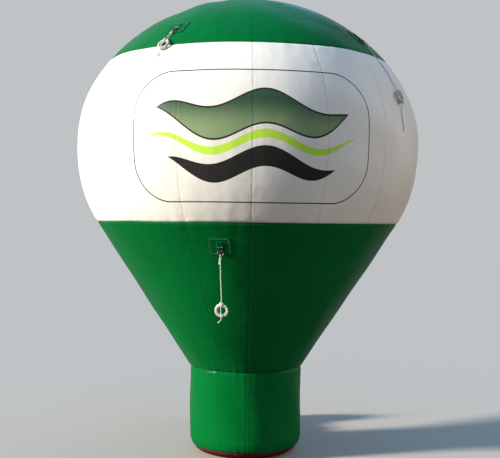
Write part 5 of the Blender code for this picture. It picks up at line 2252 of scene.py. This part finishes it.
@dataclass
class InflationSleeve:
    """The sleeve between the neck and the blower, its sewn collar and the strap round its end.

    The swell gives, at each y in front of the strap, how much wider the sleeve is than its radius. Each row
    of lumps has their number, size and phase. Each ring of the collar has its share from the inner edge
    and its height in millimetres.
    """

    z: float = 0.160
    radius: float = 0.084
    tight: float = 0.0743
    start_y: float = 0.354
    cuff_y: float = 0.6590
    wall: float = 0.0014
    strap_y: float = 0.6355
    strap_width: float = 0.025
    strap_thick: float = 0.0018
    collar_inner: float = 0.0835
    collar_outer: float = 0.108
    spigot_clear: float = 0.0722
    strapped_y: tuple = (0.612, 0.660)
    swell: tuple = (
        *((0.350, 0.0), (0.385, -0.0035), (0.440, 0.008)),
        *((0.500, 0.010), (0.565, 0.002), (0.600, -0.0075)),
    )
    lumps: tuple = ((19, 1.0, 0.4), (31, 0.55, 2.2), (12, 0.7, 4.0))
    collar: tuple = ((1.0, 1.6), (0.985, 2.2), (0.93, 2.2), (0.88, 1.9), (0.80, 2.6), (0.0, 6.0))

    def around(self, y: float, turn: float) -> float:
        """The sleeve's radius.

        Args:
            y: how far behind the balloon's axis.
            turn: how far round the sleeve.

        Returns:
            The radius there, with gathers and soft swells.
        """
        strapped = [(at, self.tight - self.radius) for at in self.strapped_y]
        base = self.radius + float(np.interp(y, *zip(*self.swell, *strapped)))
        lumps = 0.0
        for many, size, phase in self.lumps:
            lumps += size * math.cos(many * turn + phase + 5.0 * (y - 0.5) * math.sin(turn * 3 + phase))
        gathered = 0.0021 * bell(y, 0.590, 0.030) + 0.0006 * bell(y, 0.655, 0.008)
        gathered += 0.0013 * bell(y, 0.388, 0.026)
        broad = 0.0018 * math.cos(2 * turn + 14 * y) + 0.0014 * math.cos(5 * turn - 33 * y + 1)
        loose = float(np.clip((0.585 - y) / 0.05, 0.0, 1.0) * np.clip((y - 0.375) / 0.03, 0.0, 1.0))
        return max(base + gathered * lumps + broad * loose, self.spigot_clear)

    def build_sleeve(self) -> None:
        """The cloth tube, gathered under the strap."""
        rows = [np.linspace(self.start_y, 0.56, 44), np.linspace(0.564, self.cuff_y, 44)]
        rows = np.concatenate(rows)[::-1]
        turns = np.linspace(0, 2 * math.pi, 193)
        points = []
        for y in rows:
            reach = np.array([self.around(float(y), float(turn)) for turn in turns[:-1]])
            level, upright = reach * np.sin(turns[:-1]), self.z - reach * np.cos(turns[:-1])
            points.append(np.stack([level, np.full_like(level, y), upright], axis=-1))
        grid = Grid(np.array(points), closed=True)
        sleeve = grid.build("inflation_sleeve_cloth", GREEN_SLEEVE)
        give_uv(sleeve, "cloth", *np.meshgrid(turns * self.radius, rows))
        thicken(sleeve, self.wall)
        put(sleeve, "green_fabric", "inflation_sleeve")

    def on_neck(self, share: float, turns: np.ndarray, lift: float) -> np.ndarray:
        """A ring of points on the neck round the sleeve's root.

        Args:
            share: how far the ring is from the collar's inner to its outer edge.
            turns: where the points are round it.
            lift: how far outside the cloth.

        Returns:
            The points.
        """
        reach = self.collar_reach(share)
        x, z = reach * np.sin(turns), self.z - reach * np.cos(turns)
        return cloth_point(math.pi - np.arcsin(x / PROFILE.radius(z)), z, PROFILE.neck_panels, lift)

    def collar_reach(self, share: float) -> float:
        """The radius of a ring of the collar."""
        return self.collar_inner + (self.collar_outer - self.collar_inner) * share

    def build_collar(self) -> None:
        """The ring of cloth that is sewn to the neck round the sleeve's root."""
        turns = np.linspace(0, 2 * math.pi, 129)
        points = np.array([self.on_neck(share, turns[:-1], lift * MM) for share, lift in self.collar])
        reach = np.array([[self.collar_reach(share)] for share, _ in self.collar])
        grid = Grid(points, closed=True)
        collar = grid.build("sleeve_collar", PATCH)
        give_uv(collar, "cloth", turns * reach, np.broadcast_to(reach, (len(reach), len(turns))))
        thicken(collar, self.wall)
        put(collar, "green_fabric")
        lines = [facing(self.on_neck(share, turns, 0.0030), radial(math.pi)) for share in (0.90, 0.72)]
        sew("collar_stitches", lines, Stitch.HEM, PALE_THREAD)

    def build_strap(self) -> None:
        """The strap with its cam buckle and its loose end."""
        reach = self.tight + 0.0015
        arc = arc_points((0.0, self.z), (reach, reach), -268, 84, 72)
        path = [Vector((x, self.strap_y, z)) for x, z in arc]
        webbing = Vector((0, 1, 0)), self.strap_width, self.strap_thick
        band = build_tape("strap_band", path, *webbing, BLACK_TAPE)
        top = self.z + reach
        loose = [(-0.012, 0.0022), (0.004, 0.0052), (0.022, 0.0036), (0.040, -0.0052)]
        loose += [(0.056, -0.018), (0.068, -0.036), (0.074, -0.058)]
        path = [Vector((x, self.strap_y + MM * k, top + z)) for k, (x, z) in enumerate(loose)]
        tail = build_tape("strap_end", smooth_points(path, 0.004), *webbing, BLACK_TAPE)
        strap = join("sleeve_strap_band", [band, tail])
        place = Matrix.Translation((0, self.strap_y, top))
        half = self.strap_width / 2 + 0.003
        case = block("buckle_frame", (-0.016, -half, 0.0004), (0.016, half, 0.0040), 0.0012, ZINC, place)
        low, high = (-0.012, 0.003 - half, 0.0046), (0.013, half - 0.003, 0.0088)
        lever = block("buckle_lever", low, high, 0.0016, ZINC, place)
        pin = [place @ Vector((-0.011, y, 0.0062)) for y in (0.0005 - half, half - 0.0005)]
        buckle = join("strap_buckle", [case, lever, sweep("buckle_pin", pin, circle(0.0019, 12), ZINC)])
        put(strap, "black_webbing", "sleeve_strap")
        put(buckle, "zinc_steel")

    def build(self) -> None:
        """Make the sleeve, its collar and its strap."""
        self.build_sleeve()
        self.build_collar()
        self.build_strap()


@dataclass
class Blower:
    """The fan that keeps the balloon up: scroll housing, outlet, grille, motor, box, stand and handle.

    Each row of the housing's face has its radius and how far it stands out; each guard wire has its
    ring's radius and its own; each row of vents has its radius and their number.
    """

    fan_y: float = 0.840
    fan_z: float = 0.245
    half: float = 0.085
    wall: float = 0.003
    scroll_start: float = 0.105
    scroll_growth: float = 0.055
    scroll_turn: float = 1.5 * math.pi
    tongue_step: float = 0.002
    outlet_y: float = 0.670
    outlet_top: float = 0.235
    edge: float = 0.006
    face: tuple = (
        ((0.1000, 0.0), (0.0990, 0.0022), (0.0975, 0.0030), (0.0925, 0.0030), (0.0912, 0.0022), (0.0905, 0.0))
        + ((0.0745, 0.0), (0.0722, -0.0010), (0.0706, -0.0032), (0.0700, -0.0065), (0.0690, -0.0150))
    )
    ribs: tuple = ((0.0, 0.0050, 0.0075), (0.040, 0.0030, 0.0030), (-0.040, 0.0030, 0.0030))
    spigot_radius: float = 0.070
    spigot_wall: float = 0.005
    spigot_length: float = 0.052
    flange_thick: float = 0.008
    chamfer: float = 0.0012
    sleeve_z: float = 0.160
    grille_radius: float = 0.085
    wires: tuple = ((20.0, 1.4), (33.5, 1.4), (47.0, 1.4), (60.5, 1.4), (74.0, 1.4), (85.0, 2.2))
    motor_radius: float = 0.062
    motor_length: float = 0.110
    motor_rim: float = 0.074
    motor_fins: int = 40
    fin_radius: float = 0.0585
    vents: tuple = ((0.0300, 12), (0.0430, 18))
    box_x: tuple = (0.1153, 0.1703)
    box_half: float = 0.028
    box_top: float = 0.038
    gland_height: float = 0.018
    stand_sheet: float = 0.004
    stand_half: float = 0.095
    stand_foot: float = 0.030
    stand_front: float = 0.685
    stand_back: float = 0.950
    stand_bend: float = 0.007
    handle_half: float = 0.060
    handle_rise: float = 0.046
    handle_bend: float = 0.018
    handle_radius: float = 0.008
    blades: int = 30
    blade_radius: float = 0.0710

    @property
    def floor_z(self) -> float:
        """The height of the housing's underside."""
        return self.fan_z - self.scroll_start - self.scroll_growth

    @property
    def axle(self) -> Vector:
        """The point of the fan's axis at x = 0."""
        return Vector((0, self.fan_y, self.fan_z))

    def scroll_radius(self, turn: float) -> float:
        """The housing's radius this far round from the tongue, over the top."""
        return self.scroll_start + self.scroll_growth * turn / self.scroll_turn

    def scroll_line(self, x: float, first: float, last: float, out: float) -> list[Vector]:
        """A line along the scroll's back.

        Args:
            x: how far it is to the side.
            first: where it starts round the scroll.
            last: where it ends.
            out: how far outside the housing it is.

        Returns:
            Its points.
        """
        points = []
        for turn in np.linspace(first, last, 60):
            radius = self.scroll_radius(turn) + out
            y, z = self.fan_y - radius * math.cos(turn), self.fan_z + radius * math.sin(turn)
            points.append(Vector((x, y, z)))
        return points

    def about(self, x: float, radius: float, turn: float) -> Vector:
        """The point this far along the fan's axis, from it and round it."""
        return Vector((x, self.fan_y + radius * math.cos(turn), self.fan_z + radius * math.sin(turn)))

    def ring(self, x: float, radius: float, count: int, first: float = 0.0) -> list[Vector]:
        """Points on a circle round the fan's axis."""
        return [self.about(x, radius, first + 2 * math.pi * k / count) for k in range(count)]

    def open_ring(
        self, x: float, radius: float, count: int, per_piece: int, way: Vector | None = None
    ) -> list:
        """A row for small pieces at an even spacing round the fan's axis.

        Args:
            x: how far along the axis.
            radius: the row's radius.
            count: how many pieces it will have; it stops one piece short of a full circle.
            per_piece: how many points it has for each.
            way: which way the pieces face, if not away from the axis.

        Returns:
            The row's points, each with its direction.
        """
        row = []
        for turn in np.linspace(0, 2 * math.pi * (1 - 1 / count), per_piece * count):
            facing_way = Vector((0, math.cos(turn), math.sin(turn))) if way is None else way
            row.append((self.about(x, radius, turn), facing_way))
        return row

    def outline(self, inset: float) -> list[tuple[float, float]]:
        """The housing's side outline.

        Args:
            inset: how far it is moved in.

        Returns:
            Its (y, z) points.
        """
        points = []
        for turn in np.linspace(0, self.scroll_turn, 61):
            radius = self.scroll_radius(turn) - inset
            points.append((self.fan_y - radius * math.cos(turn), self.fan_z + radius * math.sin(turn)))
        floor, top = self.floor_z + inset, self.outlet_top - inset
        points += [(y, floor) for y in np.linspace(self.fan_y - 0.03, self.outlet_y, 9)]
        points += [(self.outlet_y, z) for z in np.linspace(floor, top, 9)[1:]]
        points += [(y, top) for y in np.linspace(self.outlet_y, points[0][0] - self.tongue_step, 6)[1:]]
        return points

    def disc(self, radius: float, count: int) -> list[tuple[float, float]]:
        """Points on a circle round the fan's axis, as many as the outline has and in its order."""
        return arc_points((self.fan_y, self.fan_z), (-radius, radius), 0.0, 360.0, count + 1)[:-1]

    def housing_rows(self) -> list:
        """The rows of the housing's surface, from the motor's side across to the inlet.

        Returns:
            Each row's x and its (y, z) points.
        """
        count = len(self.outline(0.0))
        rows = [(self.half, self.disc(radius, count)) for radius in (0.030, 0.076, 0.079)]
        corner = arc_points((self.edge, self.edge), (-self.edge, -self.edge), 90, 0, 5)
        for side, steps in ((1, corner), (-1, corner[::-1])):
            rows += [(side * (self.half - drop), self.outline(inset)) for inset, drop in steps]
        return rows + [(-self.half - high, self.disc(radius, count)) for radius, high in self.face]

    def build_housing(self) -> None:
        """The scroll with its rounded edges, its seam flange and its ribs."""
        points = np.array([[(x, y, z) for y, z in row] for x, row in self.housing_rows()])
        shell = Grid(points[:, ::-1], closed=True).build("housing_shell", BLUE)
        sharpen(shell, 32)
        thicken(shell, self.wall)
        parts = [shell]
        for x, width, high in self.ribs:
            path = self.scroll_line(x, 0.10, 1.20 * math.pi, high / 2 - 0.0005)
            parts.append(build_tape(f"housing_rib_{len(parts)}", path, Vector((1, 0, 0)), width, high, BLUE))
        put(join("blower_scroll", parts), "blue_plastic", "blower_housing")
        lines = []
        for side in (-1, 1):
            line = self.scroll_line(side * 0.0030, 0.22, 1.16 * math.pi, 0.0040)
            lines.append(facing(line, Vector((side, 0, 0))))
        size = (0.0056, 0.0056, 0.0020)
        put(REPEAT.along("housing_screws", lines, Unit.SCREW, 0.052, size, ZINC), "zinc_steel")

    def build_outlet(self, count: int = 96) -> None:
        """The flange plate with its screws, and the spigot that the sleeve is strapped to.

        Args:
            count: how many steps round both have.
        """
        ways = [(math.sin(turn), -math.cos(turn)) for turn in 2 * math.pi * (np.arange(count) + 0.5) / count]
        low, high = self.floor_z - self.sleeve_z, self.outlet_top - self.sleeve_z
        outer, bore = self.spigot_radius, self.spigot_radius - self.spigot_wall

        def plate(inset: float) -> list[tuple[float, float]]:
            """The plate's edge.

            Args:
                inset: how far it is moved in.

            Returns:
                Its points, beside and above the spigot's middle.
            """
            points = []
            for x, z in ways:
                reach_z = ((high - inset) if z > 0 else (low + inset)) / z
                reach = min((self.half - inset) / abs(x), reach_z)
                points.append((reach * x, reach * z))
            return points

        hole, lip = ([(radius * x, radius * z) for x, z in ways] for radius in (bore, bore + 0.0015))
        back = self.outlet_y - GAP
        front = back - self.flange_thick
        narrow, full, drop = plate(self.chamfer), plate(0.0), self.chamfer
        rows = [(back, hole), (back, narrow), (back - drop, full), (front + drop, full)]
        rows += [(front, narrow), (front, lip), (front + 0.0015, hole), (back, hole)]
        points = np.array([[(x, y, self.sleeve_z + z) for x, z in spots] for y, spots in rows])
        flange = Grid(points, closed=True).build("outlet_flange_plate", BLUE)
        sharpen(flange, 50)
        root = front - GAP
        end = front - self.spigot_length
        line = [(bore, root), (outer, root), (outer, end + 0.012), (outer + 0.0003, end + 0.009)]
        line += [(outer + 0.0003, end + 0.005), (outer, end + 0.0015), (outer - 0.0015, end)]
        line += [(bore + 0.0015, end), (bore, end + 0.0015), (bore, root)]
        spigot = lathe("outlet_tube", line, count, ALONG_Y, UP * self.sleeve_z, BLUE)
        put(flange, "blue_plastic", "outlet_flange")
        put(spigot, "blue_plastic", "outlet_spigot")
        spots = [Vector((x, front - 0.0004, z)) for x in (-0.076, 0.076) for z in (0.094, 0.226)]
        self.put_screws("flange_screws", facing(spots, Vector((0, -1, 0))), 0.0075)

    def put_screws(self, name: str, spots: Sequence, size: float) -> None:
        """Set single screw heads.

        Args:
            name: the piece's name.
            spots: each head's place and outward direction.
            size: the head's diameter.
        """
        lines = []
        for place, way in spots:
            ahead = way.orthogonal().normalized() * size
            lines.append([(place, way), (place + ahead * 0.001, way)])
        screws = REPEAT.along(name, lines, Unit.SCREW, 1.0, (size, size, size * 0.40), ZINC)
        put(screws, "zinc_steel")

    def dome(self, radius: float) -> float:
        """How far to the side the guard is at this radius."""
        return -self.half - 0.0028 - 0.0050 * (1 - (radius / self.grille_radius) ** 2)

    def build_grille(self) -> None:
        """The guard of welded wire over the inlet, slightly domed."""
        parts = []
        for radius, wire in self.wires:
            ring = self.ring(self.dome(radius * MM) + 0.0004, radius * MM, 72)
            parts.append(sweep(f"guard_ring_{len(parts)}", ring, circle(wire * MM, 8), BLACK, closed=True))
        for k in range(6):
            turn, reaches = math.pi * (k + 0.5) / 3, np.linspace(0.006, 0.0868, 10)
            spoke = [self.about(self.dome(reach) - 0.0014, reach, turn) for reach in reaches]
            parts.append(sweep(f"guard_spoke_{k}", spoke, circle(0.0018, 8), BLACK))
        middle = self.dome(0)
        line = [(0.0, -0.0035), (0.008, -0.0034), (0.0105, -0.0022), (0.0112, 0.0008), (0.0, 0.0010)]
        line = [(radius, middle + x) for radius, x in line]
        parts.append(lathe("guard_hub", line, 32, ALONG_X, self.axle, BLACK))
        put(join("inlet_guard", parts), "black_plastic", "inlet_grille")
        spots = self.ring(-self.half - 0.0052, 0.0865, 6, math.pi / 6)
        self.put_screws("guard_screws", facing(spots, Vector((-1, 0, 0))), 0.0080)

    def build_motor(self) -> None:
        """The finned motor with its mounting flange, its end bell and the vents in it."""
        start, rim = self.half + GAP, self.motor_rim
        end = start + self.motor_length
        body = self.motor_radius - 0.0065
        line = [(0.0, start), (rim - 0.001, start), (rim, start + 0.001), (rim, start + 0.005)]
        line += [(rim - 0.001, start + 0.006), (0.064, start + 0.006), (0.0605, start + 0.0085)]
        line += [(body, start + 0.012), (body, end - 0.032), (0.0600, end - 0.030), (0.0620, end - 0.0285)]
        line += [(0.0620, end - 0.013), (0.0612, end - 0.0085), (0.0575, end - 0.0035)]
        line += [(0.0520, end - 0.0008), (0.0480, end), (0.0210, end)]
        line += [(0.0200, end - 0.0012), (0.0, end - 0.0012)]
        can = lathe("motor_can", line, 96, ALONG_X, self.axle, GREY)
        middle = (start + 0.012 + end - 0.032) / 2
        ring = self.open_ring(middle, self.fin_radius, self.motor_fins, 4)
        spacing = 2 * math.pi * self.fin_radius / self.motor_fins
        size = (0.0022, end - start - 0.050, 0.0080)
        fins = REPEAT.along("motor_fins", [ring], Unit.TOOTH, spacing, size, GREY)
        put(join("fan_motor", [can, fins]), "grey_metal", "blower_motor")
        aside = Vector((1, 0, 0))
        vents = []
        for radius, count in self.vents:
            line = self.open_ring(end - 0.0004, radius, count, 6, aside)
            spacing, size = 2 * math.pi * radius / count, (0.0042, 0.0100, 0.0012)
            vents.append(REPEAT.along(f"vents_{len(vents)}", [line], Unit.TOOTH, spacing, size, RUBBER))
        put(join("motor_vents", vents), "black_plastic")
        spots = self.ring(start + 0.0066, 0.0690, 4, math.pi / 4)
        spots += self.ring(end - 0.0018, 0.0545, 4, math.pi / 4)
        self.put_screws("motor_screws", facing(spots, aside), 0.0068)

    def build_box(self) -> None:
        """The switch box with its lid and rocker, and the gland for the cable."""
        base = self.motor_radius + GAP
        high = self.box_top - GAP
        half_x, half_y = (self.box_x[1] - self.box_x[0]) / 2, self.box_half
        place = Matrix.Translation(self.axle + Vector((sum(self.box_x) / 2, 0, base)))
        blocks = (
            ("box_saddle", 0.006, 0.008, -0.004, 0.003, 0.001),
            ("box_body", 0.001, 0.001, 0.0, high - 0.0090, 0.003),
            ("box_lid", 0.0, 0.0, high - 0.0094, high, 0.0026),
            ("switch_bezel", 0.014, 0.012, high - 0.001, high + 0.0018, 0.001),
        )
        parts = []
        for name, in_x, in_y, bottom, top, bevel in blocks:
            x, y = half_x - in_x, half_y - in_y
            parts.append(block(name, (-x, -y, bottom), (x, y, top), bevel, BLACK, place))
        box = join("switch_case", parts)
        tilt = place @ Matrix.Translation((0, 0, high + 0.0015)) @ Matrix.Rotation(math.radians(7), 4, "X")
        low, top = (-0.0105, -0.0135, -0.0020), (0.0105, 0.0135, 0.0034)
        rocker = block("switch_rocker", low, top, 0.0012, SWITCH_RED, tilt)
        x, y, z = half_x - 0.006, half_y - 0.006, high + ON_TOP
        spots = [place @ Vector((side * x, end * y, z)) for side in (-1, 1) for end in (-1, 1)]
        self.put_screws("box_screws", facing(spots, UP), 0.0050)
        line = [(0.0, 0.0), (0.0105, 0.0), (0.0110, 0.0006), (0.0110, 0.0048), (0.0100, 0.0056)]
        line += [(0.0100, 0.0062), (0.0110, 0.0070), (0.0110, 0.0100)]
        for k in range(4):
            at, radius = 0.0105 + 0.0026 * k, 0.0098 - 0.0006 * k
            line += [(radius - 0.0012, at), (radius, at + 0.0007)]
            line += [(radius, at + 0.0018), (radius - 0.0012, at + 0.0024)]
        line += [(0.0068, 0.022), (0.0040, 0.022), (0.0036, 0.019), (0.0, 0.019)]
        at = place @ Vector((0, half_y + GAP, self.gland_height))
        gland = lathe("cable_gland", line, 36, ALONG_Y, at, BLACK)
        put(box, "black_plastic", "switch_box")
        put(rocker, "black_plastic")
        put(gland, "black_plastic", "power_inlet")

    def build_stand(self) -> None:
        """The bent sheet stand, bolted under the housing, with rubber strips on its feet."""
        half = self.stand_sheet / 2
        top = self.floor_z - GAP - half
        toes = self.stand_front - self.stand_foot, self.stand_back + self.stand_foot
        front, back = self.stand_front - half, self.stand_back + half
        corners = [(toes[0], half), (front, half), (front, top), (back, top), (back, half), (toes[1], half)]
        corners = [Vector((0, *corner)) for corner in corners]
        points = [corners[0]]
        for before, corner, after in zip(corners, corners[1:], corners[2:]):
            enter, leave = (corner + (end - corner).normalized() * self.stand_bend for end in (before, after))
            shares = np.linspace(0, 1, 7)
            points += [enter.lerp(corner, share).lerp(corner.lerp(leave, share), share) for share in shares]
        points.append(corners[-1])
        aside = Vector((1, 0, 0))
        stand = build_tape("fan_stand", points, aside, 2 * self.stand_half, self.stand_sheet, ZINC_SHEET)
        put(stand, "zinc_steel", "blower_stand")
        feet, wide, deep = [], self.stand_half + 0.001, 0.004
        for y in toes:
            low, high = (-wide, y - deep, 0.0), (wide, y + deep, 0.0068)
            feet.append(block(f"foot_strip_{len(feet)}", low, high, 0.0018, RUBBER))
        put(join("stand_feet", feet), "black_plastic")
        spots = [Vector((x, y, self.stand_sheet + 0.0012)) for x in (-0.07, 0.07) for y in (0.668, 0.967)]
        self.put_screws("stand_bolts", facing(spots, UP), 0.0100)

    def build_handle(self) -> None:
        """The tube handle with its ribbed grip and its two foot plates."""
        foot_z = self.fan_z + self.scroll_radius(math.pi / 2) + GAP
        bend_z = foot_z + self.handle_rise - self.handle_bend
        half, radius, bend = self.handle_half, self.handle_radius, self.handle_bend
        path = [(-half, z) for z in np.linspace(foot_z, bend_z, 5)[:-1]]
        path += arc_points((bend - half, bend_z), (bend, bend), 180, 90, 10)
        path += arc_points((half - bend, bend_z), (bend, bend), 90, 0, 10)
        path += [(half, z) for z in np.linspace(bend_z, foot_z, 5)[1:]]
        points = [Vector((x, self.fan_y, z)) for x, z in path]
        bar = sweep("handle_bar", points, circle(radius, 24), BLACK)
        line = [(radius, -0.034), (0.0100, -0.0335)]
        for k in range(13):
            at = -0.0325 + 0.0050 * k
            line += [(0.0108, at + 0.0006), (0.0108, at + 0.0036), (0.0099, at + 0.0043)]
        line += [(0.0100, 0.0335), (radius, 0.034)]
        grip = lathe("handle_grip", line, 32, ALONG_X, Vector((0, self.fan_y, bend_z + bend)), RUBBER)
        parts = [bar]
        line = [(0.0, -0.0002), (0.0145, -0.0002), (0.0150, 0.0004)]
        line += [(0.0150, 0.0030), (0.0142, 0.0040), (0.0, 0.0042)]
        for x in (-half, half):
            at = Vector((x, self.fan_y, foot_z))
            parts.append(lathe(f"handle_plate_{len(parts)}", line, 36, ALONG_Z, at, BLACK))
        put(join("handle_tube", parts), "black_plastic", "carry_handle")
        put(grip, "black_plastic")

    def build_impeller(self) -> None:
        """The squirrel-cage wheel: hub, back plate, curved blades, front ring and shaft."""
        line = [(0.0, 0.0150), (0.0165, 0.0150), (0.0180, 0.0165), (0.0180, 0.0400), (0.0205, 0.0418)]
        line += [(0.0815, 0.0420), (0.0820, 0.0425), (0.0820, 0.0455), (0.0815, 0.0460), (0.0205, 0.0460)]
        line += [(0.0180, 0.0470), (0.0180, 0.0590), (0.0170, 0.0600), (0.0060, 0.0600), (0.0060, 0.1090)]
        line += [(0.0050, 0.1100), (0.0, 0.1100)]
        parts = [lathe("wheel_hub", line, 64, ALONG_X, self.axle, IVORY)]
        line = [(0.0605, -0.0600), (0.0815, -0.0600), (0.0820, -0.0594), (0.0820, -0.0556), (0.0815, -0.0550)]
        line += [(0.0605, -0.0550), (0.0600, -0.0556), (0.0600, -0.0594), (0.0605, -0.0600)]
        parts.append(lathe("wheel_ring", line, 64, ALONG_X, self.axle, IVORY))
        ring = self.open_ring(-0.0070, self.blade_radius, self.blades, 6)
        spacing = 2 * math.pi * self.blade_radius / self.blades
        size = (0.0180, 0.0990, 0.0185)
        parts.append(REPEAT.along("wheel_blades", [ring], Unit.BLADE, spacing, size, IVORY))
        put(join("fan_wheel", parts), "white_plastic", "impeller", body=IMPELLER)

    def build(self) -> None:
        """Make every part of the blower."""
        self.build_housing()
        self.build_outlet()
        self.build_grille()
        self.build_motor()
        self.build_box()
        self.build_stand()
        self.build_handle()
        self.build_impeller()


# Studio


@dataclass(frozen=True)
class Studio:
    """The camera at the photograph's viewing angle, the floor and the soft light."""

    distance: float = 6.400
    eye_height: float = 1.521
    camera_azimuth: float = math.radians(-1.4)
    sensor_width: float = 36.0
    image_width: float = 500.0
    focal_pixels: float = 950.0
    axis_pixel: float = 247.0
    horizon_pixel: float = 223.0
    image_middle: tuple[float, float] = (250.0, 229.0)
    roll: float = math.radians(0.6)
    sun_azimuth: float = math.radians(-76.0)
    sun_height: float = math.radians(20.0)
    sun_colour: Colour = (1.0, 0.935, 0.82)
    fill_azimuth: float = math.radians(100.0)
    fill_height: float = math.radians(5.0)
    fill_colour: Colour = (1.0, 0.74, 0.50)
    low_room: Colour = (0.20, 0.155, 0.112)
    high_room: Colour = (0.375, 0.453, 0.545)
    overhead: Colour = (0.12, 0.47, 0.90)
    background: Colour = (0.527, 0.545, 0.556)
    floor_lit: Colour = (0.17, 0.14, 0.11)
    floor_seen: Colour = (0.451, 0.42, 0.389)
    floor_radius: float = 60.0

    def build(self) -> None:
        """Make the camera, the floor, the lights and the surroundings."""
        scene = bpy.context.scene
        data = bpy.data.cameras.new("camera")
        data.sensor_width = self.sensor_width
        data.lens = self.focal_pixels * self.sensor_width / self.image_width
        camera = in_scene("camera", data)
        camera.location = radial(self.camera_azimuth) * self.distance + UP * self.eye_height
        aside = (self.image_middle[0] - self.axis_pixel) / self.focal_pixels
        down = (self.image_middle[1] - self.horizon_pixel) / self.focal_pixels
        turn = Matrix.Rotation(self.camera_azimuth - aside, 3, "Z")
        tilt = Matrix.Rotation(math.pi / 2 - down, 3, "X")
        camera.rotation_euler = (turn @ tilt @ Matrix.Rotation(self.roll, 3, "Z")).to_euler()
        scene.camera = camera
        scene.view_settings.view_transform = "Standard"
        scene.view_settings.look = "None"
        self.build_floor()
        self.build_lights()

    def build_floor(self) -> None:
        """A plain pale floor that gives back little light."""
        bm = bmesh.new()
        bmesh.ops.create_circle(bm, cap_ends=True, segments=96, radius=self.floor_radius)
        mesh = bpy.data.meshes.new("floor")
        bm.to_mesh(mesh)
        bm.free()
        material = bpy.data.materials.new("floor_paint")
        material.use_nodes = True
        nodes = Nodes(material.node_tree)
        tone = nodes.mix(nodes.camera_ray(), self.floor_lit, self.floor_seen)
        looks = {"Base Color": tone, "Roughness": 0.85, "Specular IOR Level": 0.2}
        nodes.fill(material.node_tree.nodes["Principled BSDF"], looks)
        mesh.materials.append(material)
        floor = in_scene("floor", mesh)
        floor.location.z = -0.0005

    def build_lights(self) -> None:
        """A warm soft key from the left, a faint warm fill from the right and a room that is blue above."""
        self.lamp("key", self.sun_azimuth, self.sun_height, 8.0, 7.6, self.sun_colour)
        self.lamp("fill", self.fill_azimuth, self.fill_height, 60.0, 1.35, self.fill_colour)
        world = bpy.data.worlds.new("room")
        world.use_nodes = True
        world.node_tree.nodes.clear()
        nodes = Nodes(world.node_tree)
        up = nodes.split(nodes.add("ShaderNodeTexCoord").outputs["Generated"])[2]
        room = nodes.mix(nodes.step(up, -0.60, 0.60), self.low_room, self.high_room)
        room = nodes.mix(nodes.step(up, 0.50, 0.95), room, self.overhead)
        colour = nodes.mix(nodes.camera_ray(), room, self.background)
        light = nodes.add("ShaderNodeBackground", {"Color": colour, "Strength": 1.0})
        nodes.add("ShaderNodeOutputWorld", {"Surface": light.outputs[0]})
        bpy.context.scene.world = world

    def lamp(
        self, name: str, azimuth: float, height: float, spread: float, strength: float, colour: Colour
    ) -> None:
        """A distant lamp.

        Args:
            name: the lamp's name.
            azimuth: where it shines from.
            height: its angle above the horizon.
            spread: how wide it looks, in degrees.
            strength: its power.
            colour: its colour.
        """
        data = bpy.data.lights.new(name, "SUN")
        data.energy, data.angle, data.color = strength, math.radians(spread), colour
        towards = radial(azimuth) * math.cos(height) + UP * math.sin(height)
        in_scene(name, data).rotation_euler = towards.to_track_quat("Z", "Y").to_euler()


def main() -> None:
    """Dress the whole balloon."""
    logging.basicConfig(level=logging.INFO, format="%(name)s: %(message)s")
    Studio().build()
    Envelope().build()
    TiePoints().build()
    DeflationZip().build()
    InflationSleeve().build()
    Blower().build()


if __name__ == "__main__":
    main()
